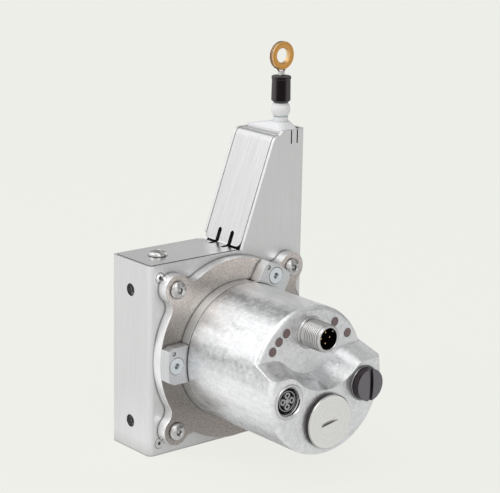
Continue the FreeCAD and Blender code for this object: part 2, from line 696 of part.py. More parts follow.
def flange_screws():
    """Four button-head screws in the plate's ears."""
    length = FLANGE_T + SHEET + EAR_SCREW_GRIP
    return Part.makeCompound([screw_y(M4_R, EAR_HEAD, length, FLANGE_Y, x, z, sunk=False)
                              for x, z in EAR_PLACES])


def clamp_form(half_w, r_in, r_out, y0, y1, chamfer):
    """Clamp outline on the +X side: a slice of a ring with cut outer corners."""
    form = ring_y(r_out, r_in, y0, y1).common(box(0, r_out + 1, y0, y1, AXIS_Z - half_w, AXIS_Z + half_w))
    if not chamfer:
        return form
    reach = math.sqrt(r_out ** 2 - half_w ** 2)
    for sz in (-1, 1):
        inner_z = AXIS_Z + sz * (half_w - chamfer)
        outer_z = AXIS_Z + sz * (half_w + 1)
        edge_z = AXIS_Z + sz * half_w
        corner = [V(reach + 3, y0 - 1, inner_z), V(reach + 3, y0 - 1, outer_z),
                  V(reach - chamfer, y0 - 1, outer_z), V(reach - chamfer, y0 - 1, edge_z)]
        wedge = Part.Face(Part.makePolygon(corner + corner[:1])).extrude(V(0, y1 - y0 + 2, 0))
        form = form.cut(wedge)
    return form


def servo_clamps():
    """Three clamps whose lips hold the encoder's ring down."""
    lip_y = RING_Y + POCKET_GAP
    head_r, head_h, _ = CLAMP_HEAD
    clamp = clamp_form(CLAMP_W / 2, ENC_R + GAP, CLAMP_OUT_R, CLAMP_FRONT, FLANGE_Y, CLAMP_CHAMFER)
    lip = clamp_form(CLAMP_W / 2, CLAMP_LIP_R, ENC_R + 1, lip_y, lip_y + CLAMP_LIP_T, 0)
    clamp = join([clamp, lip])
    clamp = clamp.cut(cone_y(head_r + SINK_ROOM, M4_R + FIT, CLAMP_FRONT, CLAMP_FRONT + head_h, CLAMP_R))
    clamp = clamp.cut(cyl_y(M4_R + FIT, CLAMP_FRONT, FLANGE_Y + 1, CLAMP_R))
    across, along = CLAMP_DIMPLE
    clamps = []
    for angle, side in zip(CLAMP_ANGLES, CLAMP_DIMPLE_SIDES):
        dimple = cyl_y(CLAMP_DIMPLE_R, CLAMP_FRONT - 1, CLAMP_FRONT + CLAMP_DIMPLE_DEPTH, across,
                       AXIS_Z + side * along)
        clamps.append(turned(clamp.cut(dimple), angle))
    return Part.makeCompound(clamps)


def clamp_screws():
    """One sunk screw in each clamp."""
    screw = screw_y(M4_R, CLAMP_HEAD, CLAMP_T + CLAMP_SCREW_GRIP, CLAMP_FRONT, CLAMP_R, AXIS_Z)
    return Part.makeCompound([turned(screw, angle) for angle in CLAMP_ANGLES])


def encoder_ring():
    """Machined end of the encoder: pilot, ring and bearing hub."""
    lip_y = FLANGE_Y + PILOT_L / 2
    seat = ENC_BEARING[1] + FIT
    ring = join([cyl_y(ENC_R, RING_Y, FLANGE_Y), cyl_y(PILOT_R, FLANGE_Y, FLANGE_Y + PILOT_L),
                 cyl_y(ENC_HUB_R, RING_Y - ENC_HUB_L, RING_Y),
                 cyl_y(ENC_R - CAST_WALL - FIT, RING_Y - REGISTER_L, RING_Y)])
    ring = ring.cut(cyl_y(seat, RING_Y - ENC_HUB_L - 1, FLANGE_Y + PILOT_L + 1))
    ring = join([ring, ring_y(seat + 1, seat - BEARING_LIP, lip_y, FLANGE_Y + PILOT_L)])
    pocket = clamp_form(CLAMP_W / 2 + POCKET_GAP, CLAMP_LIP_R - POCKET_GAP, ENC_R + 1, RING_Y - 1,
                        RING_Y + CLAMP_LIP_T + 2 * POCKET_GAP, 0)
    for angle in CLAMP_ANGLES:
        ring = ring.cut(turned(pocket, angle))
    return ring


def enc_bearing_spans():
    """Where the encoder's two shaft bearings sit along Y."""
    front = FLANGE_Y + PILOT_L / 2 - ENC_BEARING_W
    rear = RING_Y - ENC_HUB_L + END
    return ((front, front + ENC_BEARING_W), (rear, rear + ENC_BEARING_W))


def bearing_pair(y0, y1, r_in, r_out):
    """Outer and inner race with their shields, and a running gap between."""
    middle = (r_in + r_out) / 2
    return ring_y(r_out, middle + RUN, y0, y1), ring_y(middle, r_in + FIT, y0, y1)


def encoder_bearings(which):
    """Both bearings of the encoder shaft, outer (0) or inner (1) races."""
    return Part.makeCompound([bearing_pair(y0, y1, *ENC_BEARING)[which] for y0, y1 in enc_bearing_spans()])


def step_face(shift, y):
    """Region above the step of the encoder's end, at depth y."""
    arc_z = AXIS_Z + STEP_ARC_UP
    arc_r = STEP_ARC_R + shift
    fillet = STEP_FILLET - shift
    shoulder = AXIS_Z + STEP_SHOULDER - shift
    centre_z = shoulder - fillet
    rise = arc_z - centre_z
    centre_x = math.sqrt((arc_r + fillet) ** 2 - rise ** 2)
    touch = (centre_x * arc_r / (arc_r + fillet), arc_z - rise * arc_r / (arc_r + fillet))
    turn = math.atan2(touch[1] - centre_z, touch[0] - centre_x)
    middle = (turn + math.pi / 2) / 2
    bend = (centre_x + fillet * math.cos(middle), centre_z + fillet * math.sin(middle))
    wide = ENC_R + STEP_OVER
    high = AXIS_Z + ENC_R + STEP_OVER
    left = [V(-wide, y, high), V(-wide, y, shoulder), V(-centre_x, y, shoulder)]
    right = [V(centre_x, y, shoulder), V(wide, y, shoulder), V(wide, y, high)]
    edges = [Part.LineSegment(left[0], left[1]).toShape(), Part.LineSegment(left[1], left[2]).toShape(),
             Part.Arc(left[2], V(-bend[0], y, bend[1]), V(-touch[0], y, touch[1])).toShape(),
             Part.Arc(V(-touch[0], y, touch[1]), V(0, y, arc_z - arc_r), V(touch[0], y, touch[1])).toShape(),
             Part.Arc(V(touch[0], y, touch[1]), V(bend[0], y, bend[1]), right[0]).toShape(),
             Part.LineSegment(right[0], right[1]).toShape(), Part.LineSegment(right[1], right[2]).toShape(),
             Part.LineSegment(right[2], left[0]).toShape()]
    return Part.Wire(edges)


def lower_pocket():
    """Hollow behind the proud lower end face, left between the bosses."""
    y0 = LOWER_Y + POCKET_WALL
    y1 = CAVITY_Y + 1
    pocket = cyl_y(ENC_R - CAST_WALL - 1, y0, y1).common(box(-ENC_R, ENC_R, y0, y1, 0, POCKET_TOP_Z))
    pocket = pocket.cut(cyl_y(CAP_BARREL_R + BOSS_WALL, y0 - 1, y1 + 1, 0, CAP_Z))
    for sx in (-1, 1):
        pocket = pocket.cut(cyl_y(PORT_R + BOSS_WALL, y0 - 1, y1 + 1, sx * PORT_X, PORT_Z))
    return pocket


def encoder_body():
    """Die-cast cup whose end steps down round the plug connector."""
    body = cyl_y(ENC_R, LOWER_Y, RING_Y)
    over = 1.0 + 1.0 / (UPPER_Y - LOWER_Y)
    step = Part.makeLoft([step_face(0, UPPER_Y), step_face(STEP_SHIFT * over, LOWER_Y - 1.0)], True, True)
    body = body.cut(step)
    rims = []
    for edge in body.Edges:
        on_end = any(all(abs(v.Y - y) < 1e-4 for v in edge.Vertexes) for y in (UPPER_Y, LOWER_Y))
        if on_end and edge.Curve.TypeId == "Part::GeomCircle" and abs(edge.Curve.Radius - ENC_R) < 1e-3:
            rims.append(edge)
    body = body.makeFillet(CAST_ROUND, rims)
    foot = [e for e in body.Edges if all(abs(v.Y - RING_Y) < 1e-4 for v in e.Vertexes)]
    body = body.makeChamfer(BODY_BEVEL, foot)
    body = body.cut(cyl_y(ENC_R - CAST_WALL, CAVITY_Y, RING_Y + 1)).cut(lower_pocket())
    inner = CAVITY_Y + 1
    bores = [cyl_y(PLUG_SEAT_R + FIT, UPPER_Y - 1, inner, 0, PLUG_Z),
             cyl_y(CAP_BARREL_R + THREAD_RUN, LOWER_Y - 1, inner, 0, CAP_Z)]
    bores += [cyl_y(PORT_R + FIT, LOWER_Y - 1, inner, sx * PORT_X, PORT_Z) for sx in (-1, 1)]
    bores += [turned(cyl_y(LED_R + FIT, UPPER_Y - 1, inner, reach), angle) for reach, angle in LEDS]
    for bore in bores:
        body = body.cut(bore)
    return body


def plug_shell():
    """Threaded metal shell of the plug connector."""
    shell = join([cyl_y(THREAD_R, PLUG_END, UPPER_Y, 0, PLUG_Z),
                  cyl_y(PLUG_SEAT_R, UPPER_Y, CAVITY_Y, 0, PLUG_Z),
                  cyl_y(PLUG_COLLAR_R, UPPER_Y - PLUG_COLLAR_T, UPPER_Y, 0, PLUG_Z)])
    rim = [e for e in shell.Edges if abs(e.CenterOfMass.y - PLUG_END) < 1e-4 and len(e.Vertexes) == 1]
    shell = shell.makeChamfer(PLUG_BEVEL, rim)
    return shell.cut(cyl_y(PLUG_BORE_R, PLUG_END - 1, RING_Y, 0, PLUG_Z))


def pin_places(x, z):
    """Four contacts on the connector's circle."""
    turns = [math.radians(90 * i) for i in range(4)]
    return [(x + PIN_CIRCLE * math.cos(t), z + PIN_CIRCLE * math.sin(t)) for t in turns]


def plug_insert():
    """Black carrier that holds the plug's pins."""
    insert = cyl_y(PLUG_BORE_R - FIT, PLUG_END + PLUG_RECESS, CAVITY_Y, 0, PLUG_Z)
    for x, z in pin_places(0, PLUG_Z):
        insert = insert.cut(cyl_y(PIN_R + FIT, PLUG_END, CAVITY_Y + 1, x, z))
    return insert


def plug_pins():
    """Four pins through the carrier, down to the connector board."""
    return Part.makeCompound([cyl_y(PIN_R, PLUG_END + PIN_SUNK, BOARD_Y - FACE, x, z)
                              for x, z in pin_places(0, PLUG_Z)])


def port_shell(side):
    """Internally threaded shell of a socket connector."""
    x = side * PORT_X
    end = LOWER_Y + PORT_L
    return join([ring_y(PORT_R, PORT_THREAD_R, LOWER_Y - PORT_PROUD, end, x, PORT_Z),
                 ring_y(PORT_THREAD_R + 1, SOCKET_R + FIT, end - PORT_FLOOR, end, x, PORT_Z)])


def port_insert(side):
    """Contact carrier of a socket connector, with its four contact holes."""
    x = side * PORT_X
    face_y = LOWER_Y + SOCKET_RECESS
    insert = cyl_y(SOCKET_R, face_y, LOWER_Y + PORT_L, x, PORT_Z)
    for px, pz in pin_places(x, PORT_Z):
        insert = insert.cut(cyl_y(SOCKET_HOLE_R, face_y - 1, face_y + SOCKET_DEPTH, px, pz))
    return insert


def port_plug():
    """Blanking plug: domed head with a screwdriver slot, threaded skirt."""
    seat = LOWER_Y - PORT_PROUD - BLANK_SEAL_T
    tip = seat - BLANK_T - BLANK_DOME
    dome_r = (BLANK_R ** 2 + BLANK_DOME ** 2) / (2 * BLANK_DOME)
    head = cyl_y(BLANK_R, tip, seat, PORT_X, PORT_Z)
    head = head.common(Part.makeSphere(dome_r, V(PORT_X, tip + dome_r, PORT_Z)))
    skirt = cyl_y(PORT_THREAD_R - THREAD_RUN, seat, LOWER_Y + BLANK_SKIRT_L, PORT_X, PORT_Z)
    plug = join([head, skirt])
    plug = plug.cut(cyl_y(BLANK_CORE_R, seat + BLANK_FLOOR, LOWER_Y + BLANK_SKIRT_L + 1, PORT_X, PORT_Z))
    half = BLANK_SLOT / 2
    return plug.cut(box(PORT_X - half, PORT_X + half, tip - 1, tip + BLANK_SLOT_DEPTH,
                        PORT_Z - BLANK_R - 1, PORT_Z + BLANK_R + 1))


def port_seal():
    """Flat seal under the blanking plug's head."""
    seat = LOWER_Y - PORT_PROUD
    return ring_y(BLANK_R - SEAL_IN, PORT_THREAD_R + THREAD_RUN, seat - BLANK_SEAL_T + FACE, seat - FACE,
                  PORT_X, PORT_Z)


def screw_cap():
    """Nickel-plated cap over the setting switches, with a coin slot."""
    seat = LOWER_Y - CAP_SEAL_T
    front = seat - CAP_T
    end = LOWER_Y + CAP_BARREL_L
    cap = join([cyl_y(CAP_R, front, seat, 0, CAP_Z), cyl_y(CAP_BARREL_R, seat, end, 0, CAP_Z)])
    rim = [e for e in cap.Edges if abs(e.CenterOfMass.y - front) < 1e-4 and len(e.Vertexes) == 1]
    cap = cap.makeChamfer(CAP_BEVEL, rim)
    cap = cap.cut(cyl_y(CAP_BARREL_R - CAP_WALL, seat + CAP_FLOOR, end + 1, 0, CAP_Z))
    coin = Part.makeCylinder(COIN_R, COIN_SLOT, V(0, front - COIN_R + COIN_DEPTH, CAP_Z - COIN_SLOT / 2))
    coin.rotate(V(0, 0, CAP_Z), V(0, 1, 0), -COIN_TURN)
    return cap.cut(coin)


def cap_seal():
    """Rubber ring under the screw cap."""
    return ring_y(CAP_R - SEAL_IN, CAP_BARREL_R + THREAD_RUN, LOWER_Y - CAP_SEAL_T + FACE, LOWER_Y - FACE,
                  0, CAP_Z)


def status_windows():
    """Light guides of the status lamps, flush with the upper end face."""
    return Part.makeCompound([turned(cyl_y(LED_R, UPPER_Y - LED_PROUD, CAVITY_Y, reach), angle)
                              for reach, angle in LEDS])


def connector_board():
    """Board behind the connectors that also carries the setting switches."""
    return cyl_y(BOARD_R, BOARD_Y, BOARD_Y + BOARD_T)


def main_board():
    """Measuring board behind the code disc."""
    return ring_y(BOARD_R, 2 * SHAFT_R, MAIN_BOARD_Y, MAIN_BOARD_Y + BOARD_T)


def board_pillars():
    """Three spacers from the machined ring to each board."""
    spans = [(MAIN_BOARD_Y + BOARD_T + FACE, RING_Y - REGISTER_L - FACE),
             (BOARD_Y + BOARD_T + FACE, MAIN_BOARD_Y - FACE)]
    return Part.makeCompound([turned(cyl_y(PILLAR_R, y0, y1, PILLAR_CIRCLE), angle)
                              for angle in PILLAR_ANGLES for y0, y1 in spans])


def scan_head():
    """Lamp and sensor block that straddles the code disc."""
    y0 = MAIN_BOARD_Y + BOARD_T + FACE
    block = box(*HEAD_X, y0, DISC_Y + HEAD_LEAD, AXIS_Z - HEAD_HALF, AXIS_Z + HEAD_HALF)
    return block.cut(box(0, DISC_R + 1, DISC_Y - DISC_T - DISC_SLOT, DISC_Y + DISC_SLOT,
                         AXIS_Z - HEAD_HALF - 1, AXIS_Z + HEAD_HALF + 1))


def encoder_shaft():
    """Encoder shaft with its D end for the drum and a seat for the disc."""
    shaft = cyl_y(SHAFT_R, DISC_Y - DISC_HUB_T, SHAFT_TIP)
    return shaft.cut(box(-SHAFT_R, SHAFT_R, FRONT_SEAT_Y - END, SHAFT_TIP + 1,
                         AXIS_Z + SHAFT_FLAT, AXIS_Z + SHAFT_R + 1))


def disc_hub():
    """Collar that clamps the code disc to the shaft."""
    return join([ring_y(DISC_HUB_R, SHAFT_R + FIT, DISC_Y, DISC_Y + DISC_HUB_T),
                 ring_y(DISC_SEAT_R, SHAFT_R + FIT, DISC_Y - DISC_T, DISC_Y)])


def code_disc():
    """Glass code disc on the collar."""
    return ring_y(DISC_R, DISC_SEAT_R + FIT, DISC_Y - DISC_T - FACE, DISC_Y - FACE)


def switch_bases():
    """Bodies of the two address switches, and the button's guide."""
    y1 = BOARD_Y - FACE
    y0 = y1 - SWITCH_H
    bases = []
    for x in (-SWITCH_X, SWITCH_X):
        body = box(x - SWITCH_HALF, x + SWITCH_HALF, y0, y1, SWITCH_Z - SWITCH_HALF, SWITCH_Z + SWITCH_HALF)
        bases.append(body.cut(cyl_y(DIAL_R + RUN, y0 - 1, y1 - SWITCH_FLOOR, x, SWITCH_Z)))
    guide = box(-BUTTON_HALF, BUTTON_HALF, y0, y1, BUTTON_Z - BUTTON_HALF, BUTTON_Z + BUTTON_HALF)
    bases.append(guide.cut(cyl_y(BUTTON_R + RUN, y0 - 1, y1 - SWITCH_FLOOR, 0, BUTTON_Z)))
    return Part.makeCompound(bases)


def address_dial(side):
    """Slotted rotor of an address switch."""
    x = side * SWITCH_X
    top = BOARD_Y - FACE - SWITCH_H - DIAL_PROUD
    half_l, half_w, depth = DIAL_SLOT
    dial = cyl_y(DIAL_R, top, BOARD_Y - FACE - SWITCH_FLOOR - SEAT, x, SWITCH_Z)
    return dial.cut(box(x - half_l, x + half_l, top - 1, top + depth, SWITCH_Z - half_w, SWITCH_Z + half_w))


def preset_button():
    """Preset button, at rest its stroke away from the guide's floor."""
    y1 = BOARD_Y - FACE
    foot = y1 - SWITCH_FLOOR - SEAT - BUTTON_STROKE
    return cyl_y(BUTTON_R, y1 - SWITCH_H - BUTTON_PROUD, foot, 0, BUTTON_Z)


def drum_shaft():
    """Stepped shaft: front journal, drum seat, spring seat, rear journal."""
    hub_end = DRUM_Y0 - SEAT
    shoulder = REAR_SEAT_Y - SEAT
    half = KEY_W / 2
    key = box(-half, half, DRUM_Y0 + 1, DRUM_Y1 - 1, AXIS_Z + DRUM_SHAFT_R - 1, AXIS_Z + DRUM_SHAFT_R + KEY_H)
    shaft = join([cyl_y(FRONT_BEARING[0], FRONT_SEAT_Y, hub_end), cyl_y(DRUM_SHAFT_R, hub_end, DRUM_Y1),
                  cyl_y(REAR_SHAFT_R, DRUM_Y1, shoulder), key,
                  cyl_y(REAR_BEARING[0], shoulder, REAR_SEAT_Y + BEARING_W)])
    bore = cyl_y(SHAFT_R + FIT, FRONT_SEAT_Y - 1, SHAFT_TIP + END)
    wide = SHAFT_R + 1
    flat = box(-wide, wide, FRONT_SEAT_Y - 2, SHAFT_TIP + 1, AXIS_Z + SHAFT_FLAT + FIT, AXIS_Z + wide)
    return shaft.cut(bore.cut(flat))


def drum():
    """Wire drum: rim between two flanges, pierced web, keyed hub."""
    web0 = WIRE_Y - DRUM_WEB_T / 2
    half = [(DRUM_SHAFT_R + FIT, DRUM_Y0), (DRUM_HUB_R, DRUM_Y0), (DRUM_HUB_R, web0),
            (RIM_R - DRUM_RIM_T, web0), (RIM_R - DRUM_RIM_T, DRUM_Y0), (DRUM_FLANGE_R, DRUM_Y0),
            (DRUM_FLANGE_R, DRUM_Y0 + DRUM_FLANGE_T), (RIM_R, DRUM_Y0 + DRUM_FLANGE_T),
            (RIM_R, DRUM_Y1 - DRUM_FLANGE_T), (DRUM_FLANGE_R, DRUM_Y1 - DRUM_FLANGE_T),
            (DRUM_FLANGE_R, DRUM_Y1), (RIM_R - DRUM_RIM_T, DRUM_Y1),
            (RIM_R - DRUM_RIM_T, web0 + DRUM_WEB_T), (DRUM_HUB_R, web0 + DRUM_WEB_T),
            (DRUM_HUB_R, DRUM_Y1), (DRUM_SHAFT_R + FIT, DRUM_Y1)]
    wheel = revolve_y(half)
    hole = cyl_y(WEB_HOLE_R, web0 - 1, web0 + DRUM_WEB_T + 1, WEB_CIRCLE)
    for i in range(WEB_HOLES):
        wheel = wheel.cut(turned(hole, 360 * i / WEB_HOLES))
    half_key = KEY_W / 2 + FIT
    return wheel.cut(box(-half_key, half_key, DRUM_Y0 + 1 - FIT, DRUM_Y1 + 1,
                         AXIS_Z, AXIS_Z + DRUM_SHAFT_R + KEY_H + FIT))


def wire_winding():
    """The wound wire, as one layer over the rim."""
    half = WINDING_W / 2 - WIND_SIDE
    return ring_y(WIND_R, RIM_R + FIT, WIRE_Y - half, WIRE_Y + half)


def spring_case():
    """Plastic cup for the mainspring, with screw posts and a bearing boss."""
    cup = join([cyl_y(CASE_R, IN_BACK - CASE_FLOOR_T, IN_BACK),
                ring_y(CASE_R, CASE_R - CASE_WALL, CASE_FRONT, IN_BACK),
                cyl_y(BOSS_R, REAR_SEAT_Y, IN_BACK)]
               + [cyl_y(POST_R, SPRING_Y0, IN_BACK, x, z) for x, z in CASE_POSTS])
    cup = cup.cut(cyl_y(REAR_BEARING[1] + FIT, REAR_SEAT_Y - 1, REAR_SEAT_Y + BEARING_W + SEAT))
    for x, z in CASE_POSTS:
        cup = cup.cut(cyl_y(M25_R + FIT, IN_BACK - THREAD_DEPTH, IN_BACK + 1, x, z))
    return cup


def case_cover():
    """Thin cover that keeps the spring off the drum."""
    return ring_y(CASE_R - CASE_WALL - FIT, ARBOR_R + COVER_EYE, CASE_FRONT, CASE_FRONT + COVER_T)


def spring_arbor():
    """Sleeve on the drum shaft that the spring's inner end hooks into."""
    arbor = ring_y(ARBOR_R, REAR_SHAFT_R + FIT, CASE_FRONT - END, REAR_SEAT_Y - END)
    return arbor.cut(box(-SPRING_T, SPRING_T, SPRING_Y0, REAR_SEAT_Y, AXIS_Z - ARBOR_R - 1, AXIS_Z))


def mainspring():
    """Flat spiral spring, drawn with half circles about two centres."""
    step = (SPRING_OUT_R - SPRING_IN_R) / (2 * SPRING_TURNS)
    inner = []
    outer = []
    x = SPRING_IN_R
    for i in range(2 * SPRING_TURNS):
        side = 1 if i % 2 == 0 else -1
        far = -side * (abs(x) + step)
        middle = (x + far) / 2
        r = abs(x - far) / 2
        for edges, grow in ((inner, 0.0), (outer, SPRING_T)):
            edges.append(Part.Arc(V(x + side * grow, SPRING_Y0, AXIS_Z),
                                  V(middle, SPRING_Y0, AXIS_Z + side * (r + grow)),
                                  V(far - side * grow, SPRING_Y0, AXIS_Z)).toShape())
        x = far
    ends = [Part.LineSegment(inner[i].Vertexes[i].Point, outer[i].Vertexes[i].Point).toShape()
            for i in (0, -1)]
    wire = Part.Wire(Part.__sortEdges__(inner + outer + ends))
    return Part.Face(wire).extrude(V(0, SPRING_Y1 - SPRING_Y0, 0))


def front_bearing(which):
    """Bearing in the flange plate, outer (0) or inner (1) race."""
    return bearing_pair(FRONT_SEAT_Y, FRONT_SEAT_Y + BEARING_W, *FRONT_BEARING)[which]


def rear_bearing(which):
    """Bearing in the spring case, outer (0) or inner (1) race."""
    return bearing_pair(REAR_SEAT_Y, REAR_SEAT_Y + BEARING_W, *REAR_BEARING)[which]


def outlet_insert():
    """Plastic guide that closes the tower's mouth and carries the wire bush."""
    x0 = LIP_X + GAP
    x1 = IN_X - GAP
    y1 = IN_BACK - GAP
    rim = slab_z(rectangle(x0, x1, -y1, y1, INSERT_R), INSERT_FOOT_Z, INSERT_RIM_Z)
    step = INSERT_STEP
    base = outline(rectangle(x0 + step, x1 - step, -y1 + step, y1 - step, INSERT_R),
                   lambda u, v: V(u, v, INSERT_RIM_Z))
    half = INSERT_NECK_R + 2 * step
    crown = outline(rectangle(WIRE_X - half, WIRE_X + half, WIRE_Y - half, WIRE_Y + half, INSERT_NECK_R),
                    lambda u, v: V(u, v, CROWN_Z))
    roof = Part.makeLoft([base.OuterWire, crown.OuterWire], True, True)
    body = join([rim, roof, cyl_z(INSERT_NECK_R, CROWN_Z, NECK_TOP, WIRE_X, WIRE_Y)])
    hollow = box(x0 + INSERT_WALL, x1 - INSERT_WALL, -y1 + INSERT_WALL, y1 - INSERT_WALL,
                 INSERT_FOOT_Z - 1, CEILING_Z)
    body = body.cut(hollow)
    body = body.cut(cyl_z(INSERT_BORE_R, INSERT_FOOT_Z, NECK_TOP + 1, WIRE_X, WIRE_Y))
    for x in SLIT_X:
        for side in (-1, 1):
            near, far = sorted((side * (y1 + 1), side * (y1 - INSERT_WALL)))
            body = body.cut(box(x - SLIT_W / 2, x + SLIT_W / 2, near, far, TOWER_TOP - SLIT_H,
                                INSERT_RIM_Z - 2 * INSERT_STEP))
    return body.cut(cyl_z(BUSH_R + FIT, NECK_TOP - BUSH_L - SEAT, NECK_TOP + 1, WIRE_X, WIRE_Y))


def wire_bush():
    """Hard ring in the neck that the wire runs through."""
    bore = WIRE_D / 2 + WIRE_ROOM
    mouth = bore + BUSH_MOUTH
    top = NECK_TOP - SEAT
    foot = top - BUSH_L + SEAT
    return revolve_z([(bore, foot + BUSH_MOUTH), (mouth, foot), (BUSH_R, foot), (BUSH_R, top), (mouth, top),
                      (bore, top - BUSH_MOUTH)], WIRE_X, WIRE_Y)


def wiper():
    """Felt wiper under the insert's ceiling."""
    top = CEILING_Z - FACE
    x0 = LIP_X + GAP + INSERT_WALL + FIT
    x1 = IN_X - GAP - INSERT_WALL - FIT
    pad = box(x0, x1, WIRE_Y - WIPER_HALF, WIRE_Y + WIPER_HALF, top - WIPER_T, top)
    return pad.cut(cyl_z(WIRE_D / 2 + WIRE_ROOM, top - WIPER_T - 1, top + 1, WIRE_X, WIRE_Y))


def wire_lead():
    """Wire from the drum to the ball stop, up the tower."""
    start = AXIS_Z + math.sqrt(WIND_R ** 2 - RIM_R ** 2) + 1.0
    return cyl_z(WIRE_D / 2, start, BALL_Z, WIRE_X, WIRE_Y)


def ball_stop():
    """Ball on the wire that meets the neck at rest, cut flat at both ends."""
    r = BALL_D / 2
    middle = BALL_Z + BALL_H / 2
    ball = Part.makeSphere(r, V(WIRE_X, WIRE_Y, middle))
    return ball.common(cyl_z(r + 1, BALL_Z, BALL_TOP, WIRE_X, WIRE_Y))


def rubber_sleeve():
    """Tapered rubber buffer over the wire's crimp."""
    z0 = BALL_TOP
    z1 = SLEEVE_TOP
    r = SLEEVE_R
    lip_r = r + SLEEVE_LIP
    foot_in, foot_up = SLEEVE_FOOT
    bead_start, bead_full, bead_end = SLEEVE_BEAD
    return revolve_z([(0, z0), (r - foot_in, z0), (r + SLEEVE_FLARE, z0 + foot_up), (r, z1 - bead_start),
                      (lip_r, z1 - bead_full), (lip_r, z1 - bead_end), (r - SLEEVE_EDGE, z1), (0, z1)],
                     WIRE_X, WIRE_Y)


def ferrule():
    """Crimped sleeve that closes the wire loop."""
    plan = rectangle(WIRE_X - FERRULE_R, WIRE_X + FERRULE_R, WIRE_Y - FERRULE_HALF, WIRE_Y + FERRULE_HALF,
                     FERRULE_ROUND)
    return slab_z(plan, SLEEVE_TOP, FERRULE_TOP)


def thimble():
    """Grooved eye, made as a turned ring."""
    t = THIMBLE_T / 2
    floor = THIMBLE_R - WIRE_D - GROOVE_ROOM
    near = [(THIMBLE_HOLE_R, t - THIMBLE_BEVEL), (THIMBLE_HOLE_R + THIMBLE_BEVEL, t),
            (THIMBLE_R - THIMBLE_EDGE, t), (THIMBLE_R, t - THIMBLE_EDGE), (floor, GROOVE_FLOOR)]
    points = [(r, WIRE_Y - y) for r, y in near] + [(r, WIRE_Y + y) for r, y in reversed(near)]
    return revolve_y(points, WIRE_X, THIMBLE_Z)


def wire_loop():
    """Wire laid round the thimble's groove and down into the ferrule."""
    r = THIMBLE_R - LOOP_SUNK
    tube = WIRE_D / 2 - LOOP_THIN
    drop = THIMBLE_Z - FERRULE_TOP
    tip = math.asin(r / math.hypot(drop, LOOP_FOOT)) + math.atan2(LOOP_FOOT, drop)
    ends = []
    for side in (1, -1):
        start = V(WIRE_X + side * r * math.cos(tip), WIRE_Y, THIMBLE_Z - r * math.sin(tip))
        strand = V(WIRE_X + side * LOOP_FOOT, WIRE_Y, FERRULE_TOP - 1.0) - start
        section = Part.Face(Part.Wire(Part.makeCircle(tube, start, strand)))
        ends.append(section.extrude(strand))
    arc = section.revolve(V(WIRE_X, 0, THIMBLE_Z), V(0, 1, 0), 180 + 2 * math.degrees(tip))
    loop = join([arc] + ends)
    return loop.cut(box(WIRE_X - BALL_D, WIRE_X + BALL_D, WIRE_Y - BALL_D, WIRE_Y + BALL_D,
                        SLEEVE_TOP, FERRULE_TOP))


NODES = {
    "housing_shell": housing_shell,
    "closing_strip": closing_strip,
    "base_plate": base_plate,
    "upper_left_block": lambda: corner_block(-1, True),
    "lower_left_block": lambda: corner_block(-1, False),
    "lower_right_block": lambda: corner_block(1, False),
    "upper_right_block": lambda: corner_block(1, True),
    "housing_screws": housing_screws,
    "top_screw": top_screw,
    "flange_plate": flange_plate,
    "flange_screws": flange_screws,
    "servo_clamps": servo_clamps,
    "clamp_screws": clamp_screws,
    "encoder_ring": encoder_ring,
    "encoder_bearing_outers": lambda: encoder_bearings(0),
    "encoder_bearing_inners": lambda: encoder_bearings(1),
    "encoder_body": encoder_body,
    "encoder_shaft": encoder_shaft,
    "disc_hub": disc_hub,
    "code_disc": code_disc,
    "scan_head": scan_head,
    "main_board": main_board,
    "connector_board": connector_board,
    "board_pillars": board_pillars,
    "plug_shell": plug_shell,
    "plug_insert": plug_insert,
    "plug_pins": plug_pins,
    "left_port_shell": lambda: port_shell(-1),
    "left_port_insert": lambda: port_insert(-1),
    "right_port_shell": lambda: port_shell(1),
    "right_port_insert": lambda: port_insert(1),
    "port_plug": port_plug,
    "port_plug_seal": port_seal,
    "screw_cap": screw_cap,
    "screw_cap_seal": cap_seal,
    "status_windows": status_windows,
    "switch_bases": switch_bases,
    "left_dial": lambda: address_dial(-1),
    "right_dial": lambda: address_dial(1),
    "preset_button": preset_button,
    "drum_shaft": drum_shaft,
    "drum": drum,
    "wire_winding": wire_winding,
    "spring_arbor": spring_arbor,
    "mainspring": mainspring,
    "spring_case": spring_case,
    "case_cover": case_cover,
    "front_bearing_outer": lambda: front_bearing(0),
    "front_bearing_inner": lambda: front_bearing(1),
    "rear_bearing_outer": lambda: rear_bearing(0),
    "rear_bearing_inner": lambda: rear_bearing(1),
    "outlet_insert": outlet_insert,
    "wire_bush": wire_bush,
    "wiper": wiper,
    "wire_lead": wire_lead,
    "ball_stop": ball_stop,
    "rubber_sleeve": rubber_sleeve,
    "ferrule": ferrule,
    "wire_loop": wire_loop,
    "thimble": thimble,
}

os.makedirs("parts", exist_ok=True)
for name, make in NODES.items():
    make().exportStep("parts/" + name + ".step")
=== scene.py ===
import math

import bmesh
import bpy
from mathutils import Matrix, Vector


